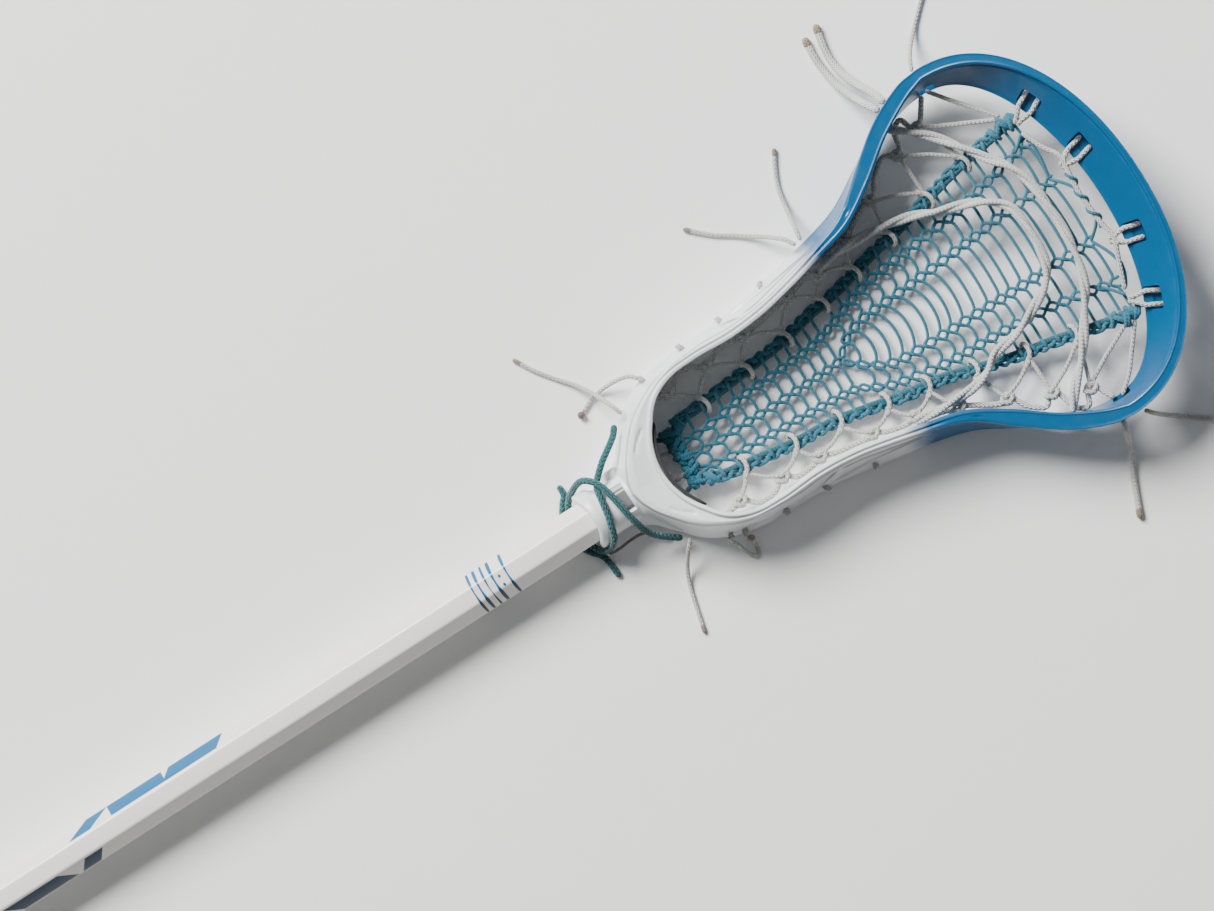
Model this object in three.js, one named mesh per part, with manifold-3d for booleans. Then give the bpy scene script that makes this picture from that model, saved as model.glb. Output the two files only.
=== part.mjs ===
// A women's lacrosse stick lying face up: moulded head, hollow eight-sided shaft, rubber end cap
// and the woven stringing. Millimetres, +X along the stick towards the scoop, +Z up.
import * as THREE from 'three';
import { mergeVertices } from 'three/addons/utils/BufferGeometryUtils.js';
import Module from 'manifold-3d';

const wasm = await Module();
wasm.setup();

// Driving dimensions of the whole stick
const LENGTH = 1080;
const AXIS_Z = 15; // height of the shaft's centre line above the floor
const GAP = 0.3; // clearance between neighbouring pieces

// Shaft and end cap
const SHAFT_FLATS = 22.2;
const SHAFT_WALL = 1.4;
const SHAFT_CORNER = 2.5;
const CAP_LENGTH = 42;
const CAP_WALL_END = 5;
const CAP_RADIUS = 13.8;
const CAP_FLANGE_RADIUS = AXIS_Z;
const CAP_FLANGE_LENGTH = 12;
const CAP_BORE_RADIUS = 12.4;

// Head, measured from the ball stop line (head x = 0) to the scoop's tip
const HEAD_TIP = 291.2;
const HEAD_X = LENGTH / 2 - HEAD_TIP;
const SOCKET_BACK = -44.5;
const SOCKET_END = -15.5; // where the shaft stops inside the head
const LIP_RADIUS = 14.5;
const NECK_RADIUS = 13.3;
const WALL = 2.8;
const LIP_HEIGHT = 4;
const RAIL_HEIGHT = 5;
const RAIL_WIDTH = 5;
const THROAT_BEND = 0.0135; // the throat's front wall is x = THROAT_FRONT + THROAT_BEND y y
const THROAT_FRONT = 2.5;

// Scoop: quarter super-ellipses about head x = SCOOP_X
const SCOOP_X = 222;
const SCOOP_OUTER = { reach: HEAD_TIP - SCOOP_X, half: 104.7, power: 2.12 };
const SCOOP_FACE = { reach: 65.6, half: 98.2, power: 2.12 };
const SCOOP_RAIL = { reach: 46.3, half: 91.7, power: 2 };
const SLOT_HALF_WIDTH = 5.2;
const SLOT_HEIGHT = 8;
const SLOT_ANGLES = [51.5, 74.5]; // degrees round the scoop, on each side

// Head screw, through its boss on the left of the socket
const SCREW_X = -22;
const SCREW_SHANK = 1.9;
const SCREW_HEAD = 3.2;
const SCREW_SEAT = 14.2;

const WHITE_STRING = 0xd9d8d0;
const TEAL = 0x2a8296;
const THROAT_TEAL = 0x1c7475;
const TIP_BROWN = 0x6b5c50;

// A value read off a smooth curve through [position, value] pairs
function curveThrough(pairs) {
  const last = pairs.length - 1;
  const slope = (k) => {
    const before = pairs[Math.max(k - 1, 0)];
    const after = pairs[Math.min(k + 1, last)];
    return (after[1] - before[1]) / (after[0] - before[0]);
  };
  return (x) => {
    if (x <= pairs[0][0]) return pairs[0][1];
    if (x >= pairs[last][0]) return pairs[last][1];
    let i = 0;
    while (x > pairs[i + 1][0]) i += 1;
    const span = pairs[i + 1][0] - pairs[i][0];
    const t = (x - pairs[i][0]) / span;
    const rise = t * t * (3 - 2 * t);
    return pairs[i][1] * (1 - rise) + pairs[i + 1][1] * rise
      + span * t * (1 - t) * ((1 - t) * slope(i) - t * slope(i + 1));
  };
}

// Plan half widths along the sidewalls, and the heights of the face rim and the bottom rail
const lipInner = curveThrough([[8, 37], [30, 39.4], [50, 41], [70, 40], [90, 41.6], [110, 45.5],
  [130, 50.4], [150, 55.8], [170, 68], [190, 83], [210, 94], [222, 98.2]]);
const lipOuter = curveThrough([[8, 41], [30, 44], [50, 45.2], [70, 44.4], [90, 46], [110, 50],
  [130, 55.3], [150, 63], [170, 79], [190, 93.8], [210, 103], [222, 104.7]]);
const railOuter = curveThrough([[8, 42.8], [20, 48], [30, 50], [50, 51.1], [70, 51.8], [90, 54.7],
  [110, 58.5], [130, 62.3], [150, 68.3], [170, 79.8], [190, 90.5], [210, 96.3], [222, 97]]);
const rimHeight = curveThrough([[-20, 29], [0, 33.5], [30, 37], [90, 37], [150, 35.5], [200, 37],
  [250, 43.5], [HEAD_TIP, 49]]);
const railHeight = curveThrough([[120, 0], [170, 3], [210, 9], [250, 17], [HEAD_TIP, 25]]);

// Height of the woven runner's middle above the floor, along the head
const netHeight = curveThrough([[0, 12], [20, 9], [60, 5.5], [120, 4.5], [170, 6], [210, 12],
  [250, 22.5], [272, 30]]);

// Closed solid carried through a row of closed sections, capped at both ends
function loft(sections) {
  const count = sections[0].length;
  const index = [];
  for (let s = 0; s < sections.length - 1; s += 1) {
    for (let k = 0; k < count; k += 1) {
      const a = s * count + k;
      const b = s * count + (k + 1) % count;
      index.push(a, b, a + count, b, b + count, a + count);
    }
  }
  const area = (a, b, c) => (b.x - a.x) * (c.y - a.y) - (b.y - a.y) * (c.x - a.x);
  const addCap = (section, start, reversed) => {
    const flat = section.map((p) => new THREE.Vector2(p.y, p.z));
    const turned = THREE.ShapeUtils.isClockWise(flat) !== reversed;
    for (const [a, b, c] of THREE.ShapeUtils.triangulateShape(flat, [])) {
      const clockwise = area(flat[a], flat[b], flat[c]) < 0;
      if (clockwise === turned) index.push(start + a, start + b, start + c);
      else index.push(start + a, start + c, start + b);
    }
  };
  addCap(sections[0], 0, true);
  addCap(sections.at(-1), (sections.length - 1) * count, false);
  const geometry = new THREE.BufferGeometry().setFromPoints(sections.flat());
  geometry.setIndex(index);
  if (signedVolume(geometry) < 0) {
    for (let i = 0; i < index.length; i += 3) {
      [index[i], index[i + 1]] = [index[i + 1], index[i]];
    }
    geometry.setIndex(index);
  }
  return geometry;
}

function signedVolume(geometry) {
  const at = (i) => new THREE.Vector3().fromBufferAttribute(geometry.attributes.position, i);
  let volume = 0;
  const { array } = geometry.index;
  for (let i = 0; i < array.length; i += 3) {
    volume += at(array[i]).dot(at(array[i + 1]).cross(at(array[i + 2]))) / 6;
  }
  return volume;
}

// Boolean solids
function toSolid(geometry) {
  geometry.deleteAttribute('normal');
  geometry.deleteAttribute('uv');
  const merged = mergeVertices(geometry, 1e-4);
  return new wasm.Manifold(new wasm.Mesh({
    numProp: 3,
    vertProperties: Float32Array.from(merged.attributes.position.array),
    triVerts: Uint32Array.from(merged.index.array),
  }));
}

function toGeometry(solid) {
  const mesh = solid.getMesh();
  const geometry = new THREE.BufferGeometry();
  geometry.setAttribute('position', new THREE.BufferAttribute(mesh.vertProperties, 3));
  geometry.setIndex(new THREE.BufferAttribute(mesh.triVerts, 1));
  geometry.computeVertexNormals();
  return geometry;
}

function piece(name, geometry, color, roughness = 0.8, metalness = 0) {
  const mesh = new THREE.Mesh(geometry, new THREE.MeshStandardMaterial({ color, roughness, metalness }));
  mesh.name = name;
  return mesh;
}

// Shaft and end cap, along X
function octagon(acrossFlats, corner) {
  const shape = new THREE.Shape();
  const reach = (acrossFlats / 2 - corner) / Math.cos(Math.PI / 8);
  for (let k = 0; k < 8; k += 1) {
    const turn = Math.PI / 8 + k * Math.PI / 4;
    const from = k * Math.PI / 4;
    shape.absarc(reach * Math.cos(turn), reach * Math.sin(turn), corner, from, from + Math.PI / 4);
  }
  shape.closePath();
  return shape;
}

// A shape extruded along +X from x = start to x = end, about the shaft's axis
function alongShaft(shape, start, end) {
  const geometry = new THREE.ExtrudeGeometry(shape, {
    depth: end - start, bevelEnabled: false, curveSegments: 3,
  });
  geometry.rotateY(Math.PI / 2);
  geometry.translate(start, 0, AXIS_Z);
  return geometry;
}

function cylinderAlongY(radius, x, from, to) {
  const geometry = new THREE.CylinderGeometry(radius, radius, to - from, 20);
  geometry.translate(x, (from + to) / 2, AXIS_Z);
  return geometry;
}

function makeShaft() {
  const tube = octagon(SHAFT_FLATS, SHAFT_CORNER);
  tube.holes.push(octagon(SHAFT_FLATS - 2 * SHAFT_WALL, SHAFT_CORNER - SHAFT_WALL));
  const start = -LENGTH / 2 + CAP_WALL_END + GAP;
  const shaft = toSolid(alongShaft(tube, start, HEAD_X + SOCKET_END - GAP));
  const hole = toSolid(cylinderAlongY(SCREW_SHANK + GAP, HEAD_X + SCREW_X, 2, SCREW_SEAT + 2));
  return piece('shaft_tube', toGeometry(shaft.subtract(hole)), 0xf0eee6, 0.35);
}

function makeEndCap() {
  const profile = [[0, 0], [12.2, 0], [CAP_FLANGE_RADIUS, 2.4], [CAP_FLANGE_RADIUS, CAP_FLANGE_LENGTH - 2],
    [CAP_RADIUS, CAP_FLANGE_LENGTH + 1], [CAP_RADIUS, CAP_LENGTH - 1.5], [CAP_RADIUS - 0.6, CAP_LENGTH],
    [CAP_BORE_RADIUS, CAP_LENGTH], [CAP_BORE_RADIUS, CAP_WALL_END], [0, CAP_WALL_END]];
  const geometry = new THREE.LatheGeometry(profile.map(([r, h]) => new THREE.Vector2(r, h)), 32);
  const cap = piece('end_cap', geometry, 0x2b2d30, 0.85);
  cap.rotation.z = -Math.PI / 2;
  cap.position.set(-LENGTH / 2, 0, AXIS_Z);
  return cap;
}

// Head frame. A station holds the plan points and heights of one slice of the wall.
function sideStation(x) {
  const outer = Math.max(lipOuter(x), railOuter(x));
  return {
    lipIn: [x, lipInner(x)], lipOut: [x, lipOuter(x)], railOut: [x, railOuter(x)],
    railIn: [x, railOuter(x) - RAIL_WIDTH], out: [x, outer], top: rimHeight(x), low: railHeight(x),
  };
}

function onScoop({ reach, half, power }, angle) {
  return [SCOOP_X + reach * Math.sin(angle) ** (2 / power), half * Math.cos(angle) ** (2 / power)];
}

function scoopStation(angle) {
  const lipOut = onScoop(SCOOP_OUTER, angle);
  const railIn = onScoop(SCOOP_RAIL, angle);
  const away = new THREE.Vector2(lipOut[0] - railIn[0], lipOut[1] - railIn[1]).normalize();
  return {
    lipIn: onScoop(SCOOP_FACE, angle), lipOut, out: lipOut, railIn, away,
    railOut: [railIn[0] + RAIL_WIDTH * away.x, railIn[1] + RAIL_WIDTH * away.y],
    top: rimHeight(lipOut[0]), low: railHeight(lipOut[0]),
  };
}

function wallSection(station, side) {
  const { lipIn, lipOut, railOut, railIn, top, low } = station;
  const mix = (a, b, t) => [a[0] + (b[0] - a[0]) * t, a[1] + (b[1] - a[1]) * t];
  const lipWidth = Math.hypot(lipOut[0] - lipIn[0], lipOut[1] - lipIn[1]);
  const lipWeb = mix(lipOut, lipIn, Math.min(WALL / lipWidth, 0.9));
  const railWeb = mix(railOut, railIn, WALL / RAIL_WIDTH);
  const corners = [[lipIn, top], [lipOut, top], [lipOut, top - LIP_HEIGHT], [railOut, low + RAIL_HEIGHT],
    [railOut, low], [railIn, low], [railIn, low + RAIL_HEIGHT], [railWeb, low + RAIL_HEIGHT + 1],
    [lipWeb, top - LIP_HEIGHT - 0.5], [lipIn, top - LIP_HEIGHT + 1]];
  return corners.map(([[x, y], z]) => new THREE.Vector3(x, side * y, z));
}

function makeWall() {
  const stations = [];
  for (const x of [8, 16, 24, 34, 46, 58, 70, 82, 94, 106, 118, 130, 142, 152, 162, 172, 182, 192, 202, 212]) {
    stations.push(sideStation(x));
  }
  for (const degrees of [0, 8, 16, 24, 32, 40, 48, 56, 64, 72, 80]) {
    stations.push(scoopStation(THREE.MathUtils.degToRad(degrees)));
  }
  const left = stations.map((station) => wallSection(station, 1));
  const right = stations.map((station) => wallSection(station, -1)).reverse();
  return loft([...left, wallSection(scoopStation(Math.PI / 2), 1), ...right]);
}

// Plan points of the throat's front wall, moved forwards by an offset
function throatArc(offset, from, to) {
  const steps = 18;
  const points = [];
  for (let i = 0; i <= steps; i += 1) {
    const y = from + (to - from) * i / steps;
    points.push(new THREE.Vector2(THROAT_FRONT + offset + THROAT_BEND * y * y, y));
  }
  return points;
}

// Boxy section: a super-ellipse in Y and Z, bent along X into the throat's arc
function throatSection({ x, bend, half, low, top, power }) {
  const section = [];
  const sides = 20;
  const bulge = (v) => Math.sign(v) * Math.abs(v) ** (2 / power);
  for (let k = 0; k < sides; k += 1) {
    const turn = (k + 0.5) / sides * 2 * Math.PI;
    const y = half * bulge(Math.cos(turn));
    const z = (low + top) / 2 + (top - low) / 2 * bulge(Math.sin(turn));
    section.push(new THREE.Vector3(x + bend * y * y, y, z));
  }
  return section;
}

const THROAT = [
  { x: -27, bend: 0, half: 13.2, low: 1.8, top: 28.2, power: 2.1 },
  { x: -21, bend: 0.001, half: 16.5, low: 1.2, top: 29.2, power: 2.5 },
  { x: -17, bend: 0.0025, half: 21.5, low: 0.7, top: 30.5, power: 3 },
  { x: -13, bend: 0.0045, half: 27, low: 0.3, top: 32, power: 4 },
  { x: -9, bend: 0.007, half: 35, low: 0, top: 34, power: 5 },
  { x: -4, bend: 0.0105, half: 43.5, low: 0, top: 35.8, power: 7 },
  { x: 24, bend: 0, half: 44, low: 0, top: 36.6, power: 9 },
];
const MOUTH_HALF = 37.5; // half width of the throat's front wall

function makeThroat() {
  const block = toSolid(loft(THROAT.map(throatSection)));
  const shell = 4;
  const hollow = THROAT.slice(2, 6).map((station) => throatSection({
    ...station, x: station.x - 1, half: station.half - shell - 1, low: -6, top: station.top - shell,
  }));
  const mouth = new THREE.Shape([...throatArc(0, -MOUTH_HALF, MOUTH_HALF),
    new THREE.Vector2(60, MOUTH_HALF), new THREE.Vector2(60, -MOUTH_HALF)]);
  const cutter = new THREE.ExtrudeGeometry(mouth, { depth: 80, bevelEnabled: false });
  cutter.translate(0, 0, -20);
  return block.subtract(toSolid(loft(hollow))).subtract(toSolid(cutter));
}

// A box with X away from the rail's inner edge, turned and placed at a station
function slotCutter(station, away, height) {
  const depth = 40;
  const box = new THREE.BoxGeometry(depth, 2 * SLOT_HALF_WIDTH, height);
  box.translate(depth / 2 - 6, 0, station.low + RAIL_HEIGHT + 0.4 + height / 2);
  box.rotateZ(Math.atan2(away[1], away[0]));
  box.translate(station.railIn[0], station.railIn[1], 0);
  return toSolid(box);
}

function makeHead() {
  const collarProfile = [[0, SOCKET_BACK], [LIP_RADIUS - 0.8, SOCKET_BACK], [LIP_RADIUS, SOCKET_BACK + 1],
    [LIP_RADIUS, -38], [NECK_RADIUS, -35.5], [NECK_RADIUS, -18], [0, -18]];
  const collar = new THREE.LatheGeometry(collarProfile.map(([r, h]) => new THREE.Vector2(r, h)), 32);
  collar.rotateZ(-Math.PI / 2);
  collar.translate(0, 0, AXIS_Z);
  const window = new THREE.BoxGeometry(6, 16.5, 8);
  window.translate(-22, 0.5, AXIS_Z + 13.5);
  const solid = makeThroat()
    .add(toSolid(makeWall()))
    .add(toSolid(collar))
    .add(toSolid(cylinderAlongY(5, SCREW_X, 8, SCREW_SEAT + 3)))
    .subtract(toSolid(alongShaft(octagon(SHAFT_FLATS + 2 * GAP, SHAFT_CORNER), SOCKET_BACK - 1, SOCKET_END)))
    .subtract(toSolid(cylinderAlongY(SCREW_SHANK + GAP, SCREW_X, 6, SCREW_SEAT + 4)))
    .subtract(toSolid(cylinderAlongY(SCREW_HEAD + GAP, SCREW_X, SCREW_SEAT - GAP, SCREW_SEAT + 6)))
    .subtract(toSolid(window));
  let cut = solid;
  for (const side of [1, -1]) {
    const corner = sideStation(SCOOP_X);
    corner.railIn = [SCOOP_X, side * corner.railIn[1]];
    cut = cut.subtract(slotCutter(corner, [0, side], SLOT_HEIGHT - 1));
    for (const degrees of SLOT_ANGLES) {
      const station = scoopStation(THREE.MathUtils.degToRad(degrees));
      station.railIn = [station.railIn[0], side * station.railIn[1]];
      cut = cut.subtract(slotCutter(station, [station.away.x, side * station.away.y], SLOT_HEIGHT));
    }
  }
  return piece('head_frame', toGeometry(cut), 0xe9edee, 0.3);
}

function makeScrew() {
  const profile = [[0, 2.2], [2.2, 2.2], [SCREW_HEAD, 1], [SCREW_HEAD, 0], [SCREW_SHANK, 0], [SCREW_SHANK, -8],
    [0, -10]];
  const geometry = new THREE.LatheGeometry(profile.reverse().map(([r, h]) => new THREE.Vector2(r, h)), 20);
  const screw = piece('head_screw', geometry, 0x9a9c9e, 0.35, 1);
  screw.position.set(SCREW_X, SCREW_SEAT, AXIS_Z);
  return screw;
}

// Foam pad: a strip of even thickness in front of the throat's arc
function makeBallStop() {
  const half = 25;
  const back = GAP + 0.2;
  const thickness = 1.8;
  const outline = new THREE.Shape([...throatArc(back, -half, half), ...throatArc(back + thickness, half, -half)]);
  const geometry = new THREE.ExtrudeGeometry(outline, { depth: 21, bevelEnabled: false });
  const pad = piece('ball_stop', geometry, 0x1b1b1d, 0.9);
  pad.position.z = 13;
  return pad;
}

// Strings. A cord is a plain eight-sided rod along a smooth route.
function cord(name, diameter, points, color) {
  const route = new THREE.CatmullRomCurve3(points.map(([x, y, z]) => new THREE.Vector3(x, y, z)));
  const section = new THREE.Shape();
  section.absarc(0, 0, diameter / 2, 0, 2 * Math.PI);
  const steps = Math.max(6, Math.min(60, Math.round(route.getLength() / (2.5 * diameter))));
  const geometry = new THREE.ExtrudeGeometry(section, {
    steps, extrudePath: route, bevelEnabled: false, curveSegments: 4,
  });
  return piece(name, geometry, color);
}

// Height of the strings' ground layer: the runner in the middle, the rails' tops at the walls
function stringHeight(x, y) {
  const wall = 50 + 45 * THREE.MathUtils.smoothstep(x, 130, 215);
  const edge = 20 + 35 * THREE.MathUtils.smoothstep(x, 80, 255);
  const rise = THREE.MathUtils.smoothstep(Math.abs(y), edge, wall);
  return netHeight(x) + (railHeight(x) + 6.5 - netHeight(x)) * rise;
}

// A plan route laid at one layer above the ground layer
function laid(points, layer) {
  return points.map(([x, y]) => [x, y, stringHeight(x, y) + layer]);
}

const LACING_LAYER = 3.8;
const SHOOTING_LAYER = 7.6;

const EDGE_LEFT = [[22, 17.8], [30, 18.5], [50, 20], [70, 22], [90, 24], [110, 28], [130, 31], [150, 36],
  [170, 40], [190, 44.5], [210, 49.5], [230, 53], [252, 56.5]];
const EDGE_RIGHT = [[22, -14.5], [30, -17], [50, -20], [70, -23], [90, -24.5], [110, -28.5], [130, -33],
  [150, -36], [170, -42], [190, -47], [210, -51], [230, -56], [252, -60.5]];
const LEFT_KNOTS = [[27, 32.5], [51, 33], [76, 35], [105, 40], [125, 43], [146, 51], [168, 60], [192, 72],
  [208, 79]];
const RIGHT_KNOTS = [[28, -32], [53, -33], [75, -35], [104, -39], [127, -44], [149, -53], [172, -62],
  [193, -72], [210, -80]];
const LACING_LOOPS = [39, 67, 93, 118.5, 141, 166, 193, 218.5];

function makeRunnerWeb() {
  const left = curveThrough(EDGE_LEFT);
  const right = curveThrough(EDGE_RIGHT);
  const half = 0.8;
  const inset = 2.7;
  const sections = [];
  for (let x = 22; x <= 250; x += 12) {
    const z = netHeight(x);
    const a = left(x) - inset;
    const b = right(x) + inset;
    sections.push([[a, z - half], [a, z + half], [b, z + half], [b, z - half]].map(
      ([y, height]) => new THREE.Vector3(x, y, height)));
  }
  return piece('runner_web', loft(sections), TEAL);
}

// Zigzag from knot to knot, looping out to the runner's edge cord between two knots
function lacingRoute(knots, edge) {
  const along = curveThrough(edge);
  const route = [];
  knots.forEach(([x, y], i) => {
    route.push([x, y - Math.sign(y) * 0.5]);
    if (i < LACING_LOOPS.length) route.push([LACING_LOOPS[i], along(LACING_LOOPS[i])]);
  });
  return laid(route, LACING_LAYER);
}

function makeRunner() {
  const pieces = [
    cord('runner_edge_left', 4.4, laid(EDGE_LEFT, 0), TEAL),
    cord('runner_edge_right', 4.4, laid(EDGE_RIGHT, 0), TEAL),
    makeRunnerWeb(),
    cord('runner_foot_wrap', 8, [[15.8, 17, 9.5], [16.2, 8, 10], [16.4, 0, 10], [16.4, -7, 10], [16.4, -13, 9.5]],
      TEAL),
    cord('runner_lacing_left', 1.8, lacingRoute(LEFT_KNOTS, EDGE_LEFT), WHITE_STRING),
    cord('runner_lacing_right', 1.8, lacingRoute(RIGHT_KNOTS, EDGE_RIGHT), WHITE_STRING),
  ];
  const ties = [[17.5, TEAL], [9, WHITE_STRING], [-7, WHITE_STRING], [-15, TEAL]];
  ties.forEach(([y, color], i) => {
    const wall = THROAT_FRONT + THROAT_BEND * y * y + 0.5;
    const inward = y * 0.82;
    pieces.push(cord(`foot_tie_${i + 1}`, 2.4, [[wall, y, 8.5], [(wall + 11.2) / 2, y * 0.9, 9.2],
      [11.2, inward, 9.5]], color));
  });
  return pieces;
}

function makeWallStrings() {
  const left = [[22, 35.6], [28, 36.6], [51, 37.5], [76, 39], [105, 44], [125, 47], [146, 55], [168, 64],
    [192, 77], [208, 84], [217, 89]];
  const right = left.map(([x, y]) => [x, -y]);
  return [
    cord('sidewall_string_left', 2.2, laid(left, 0), WHITE_STRING),
    cord('sidewall_string_right', 2.2, laid(right, 0), WHITE_STRING),
  ];
}

const INNER_SHOOTER = [[127, 46.5], [143, 47.5], [160, 47], [180, 43], [195, 37], [210, 32], [220, 26],
  [226, 19], [228, 10], [228, 0], [226, -14], [221, -23], [210, -30], [195, -37], [180, -40], [170, -46],
  [158, -49], [142, -49], [127, -47.5]];
const OUTER_SHOOTER = [[196, 86], [205, 78], [213, 70], [222, 58], [230, 46], [237, 37], [241, 25], [243, 10],
  [243, 0], [242, -13], [240, -25], [235, -38], [228, -48], [220, -60], [213, -68], [205, -76], [197, -86]];

function makeShooters() {
  return [
    cord('shooting_string_inner', 4, laid(INNER_SHOOTER, SHOOTING_LAYER), WHITE_STRING),
    cord('shooting_string_outer', 4, laid(OUTER_SHOOTER, SHOOTING_LAYER), WHITE_STRING),
  ];
}

// Braided loop round the scoop's rail through a slot, drawn in radial steps from the rail's inner edge
function makeScoopLoop(name, degrees, side) {
  const { railIn, away, low } = scoopStation(THREE.MathUtils.degToRad(degrees));
  const steps = [[-6, 5.4], [-2, 7], [3, 7.4], [7.6, 6.6], [9.2, 3], [8, -1], [4, -2.2], [-1, -2], [-5, 0.5]];
  const route = steps.map(([r, z], i) => {
    const slide = -1.8 + 3.6 * i / (steps.length - 1);
    return [railIn[0] + r * away.x - slide * away.y, side * (railIn[1] + r * away.y + slide * away.x), low + z];
  });
  return cord(name, 2.2, route, WHITE_STRING);
}

function makeScoopStrings() {
  const pieces = [];
  const places = [[SLOT_ANGLES[0], 1], [SLOT_ANGLES[1], 1], [SLOT_ANGLES[1], -1], [SLOT_ANGLES[0], -1]];
  places.forEach(([degrees, side], i) => pieces.push(makeScoopLoop(`scoop_loop_${i + 1}`, degrees, side)));
  const top = [[253, 45], [255, 36], [258, 27], [259, 18], [258.5, 8], [259, -2], [259.5, -12], [258.5, -24],
    [256, -36], [253, -47]];
  pieces.push(cord('top_string', 2.4, laid(top, 4), WHITE_STRING));
  const corners = [
    ['corner_string_left_1', [[246, 62], [238, 72], [230, 82], [223.5, 90.5]]],
    ['corner_string_left_2', [[242, 60], [232, 66], [222, 71], [214, 76]]],
    ['corner_string_right_1', [[248, -65], [240, -75], [232, -85], [225, -90.5]]],
    ['corner_string_right_2', [[244, -63], [234, -68], [224, -73], [215, -77]]],
  ];
  for (const [name, plan] of corners) {
    pieces.push(cord(name, 2, laid(plan, 0), WHITE_STRING));
  }
  return pieces;
}

// The thick cord crossed round the socket, and its tie that passes under the shaft
function makeThroatCords() {
  const around = [[-6.5, 33.6, 17], [-9, 30.6, 18], [-12.5, 28, 20], [-17, 25, 22.5], [-22, 21.5, 25],
    [-29, 15, 27.4], [-31, 10.5, 29.2], [-32, 5, 30.5], [-33, -1, 30.6], [-34.5, -7, 29.6], [-37, -14, 25],
    [-41, -17.4, 15], [-45.5, -16.4, 8], [-49, -10.5, 3.2], [-50, -5, 1.95], [-50, 4, 1.95], [-49, 10.5, 3.2],
    [-45.5, 16.4, 8], [-42, 18, 14], [-38, 16.2, 20], [-33.5, 13.8, 22.4], [-29.5, 12.6, 24.8], [-27.5, 7.5, 28.6],
    [-26, 1, 31.2], [-24.6, -6, 31], [-23, -14, 27.6], [-21, -20, 21.5], [-17.5, -24.6, 17], [-13, -28.6, 13],
    [-8.5, -32, 10]];
  const tie = [[-46.2, 22, 2.4], [-48.2, 17.5, 1.8], [-52.4, 13, 1.8], [-54.4, 6, 1.9], [-54.4, -4, 1.9],
    [-52.8, -12, 2], [-48.8, -19.6, 2.2], [-46.6, -24, 2], [-45.2, -31, 1.8]];
  const thin = [[-43.5, -20, 11.5], [-38, -20.2, 8], [-31, -19.6, 6.5], [-24, -19.9, 6], [-18.5, -23.6, 5.6],
    [-14.5, -27.3, 5.2]];
  return [
    cord('throat_cord', 3.4, around, THROAT_TEAL),
    cord('throat_cord_tie', 3.2, tie, THROAT_TEAL),
    cord('collar_string', 1.6, thin, TIP_BROWN),
  ];
}

// Free tails round the outside of the head: diameter, route down to the floor, colour
const TAILS = [
  ['tail_throat_left', 2.2, [[0.4, 38.8, 20], [-1, 43, 19.5], [-3.5, 49, 15], [-7, 56, 8.5], [-12, 64, 3.4],
    [-18, 71, 1.3], [-25, 80.5, 1.3], [-30.5, 90, 1.3]], WHITE_STRING],
  ['tail_beaded_left', 2.2, [[17, 49.2, 14], [14, 52, 13], [9, 53.4, 10], [3, 53.8, 5.6], [-3, 53.4, 2.4],
    [-9, 52, 1.4], [-14.4, 49.6, 1.3]], WHITE_STRING],
  ['tail_wall_left_back', 2.4, [[122.4, 63.4, 16], [119.5, 68, 14], [114, 73, 9], [107.5, 77.8, 4],
    [99.5, 83.5, 1.5], [90, 90, 1.4], [80, 99.4, 1.4]], WHITE_STRING],
  ['tail_wall_left_front', 2.4, [[126.6, 64.2, 16], [127.4, 69.6, 14], [128.4, 76, 9], [129.6, 83, 4],
    [131.6, 92, 1.5], [135.4, 101, 1.4], [140, 109, 1.4]], WHITE_STRING],
  ['tail_shooter_left_1', 4, [[195.2, 98.6, 24], [191.6, 104.8, 20], [188.2, 112.5, 12], [185.2, 122, 5.5],
    [183.8, 132, 2.4], [183.6, 140, 2.2], [184.3, 147.4, 2.2]], WHITE_STRING],
  ['tail_shooter_left_2', 4, [[200, 100.8, 24], [198.2, 107, 20], [193.6, 116, 12.5], [190.6, 125.5, 5.5],
    [189.8, 134, 2.4], [190.8, 142.6, 2.2], [192.6, 150.2, 2.2]], WHITE_STRING],
  ['tail_corner_left', 2.2, [[221.6, 106, 20], [223.4, 110, 18], [226.4, 114.5, 11], [230.4, 119, 5],
    [235.4, 124, 1.8], [240.6, 129, 1.3], [248, 136, 1.3]], WHITE_STRING],
  ['tail_corner_right_back', 3.4, [[215.6, -105.4, 20], [214.4, -109.6, 18], [212.6, -115.6, 11],
    [209.6, -122.6, 4.6], [205.6, -131, 2.2], [201.6, -140.4, 1.9], [197.5, -150, 1.9]], WHITE_STRING],
  ['tail_corner_right_front', 2.6, [[228.6, -106.6, 20], [231, -109.4, 18], [235.4, -113.4, 11],
    [240.6, -117.4, 4.6], [247, -122.4, 1.8], [254, -127.6, 1.5], [262, -133.4, 1.5]], WHITE_STRING],
  ['tail_throat_right', 2.2, [[-4.6, -35.8, 16], [-7.4, -39, 15], [-10.6, -43, 10], [-13.8, -48, 5],
    [-17, -55, 1.8], [-20, -65, 1.3], [-23.6, -79, 1.3]], WHITE_STRING],
];

function bead(name, x, y, z) {
  const mesh = piece(name, new THREE.SphereGeometry(2.1, 12, 8), TIP_BROWN);
  mesh.position.set(x, y, z);
  return mesh;
}

function makeTails() {
  const loop = [[13.4, -47.4, 12], [14.6, -50.4, 11], [16, -55, 6.4], [18, -59.6, 2.4], [20.4, -61.6, 1.3],
    [22.4, -59, 1.4], [22.8, -55, 4.4], [22.4, -53.6, 7.6]];
  return [
    ...TAILS.map(([name, diameter, route, color]) => cord(name, diameter, route, color)),
    cord('wall_loop_right', 2, loop, WHITE_STRING),
    bead('wall_loop_bead', 22.4, -52.2, 10.4),
    bead('tail_bead_left', -17, 48.2, 2.2),
  ];
}

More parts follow.
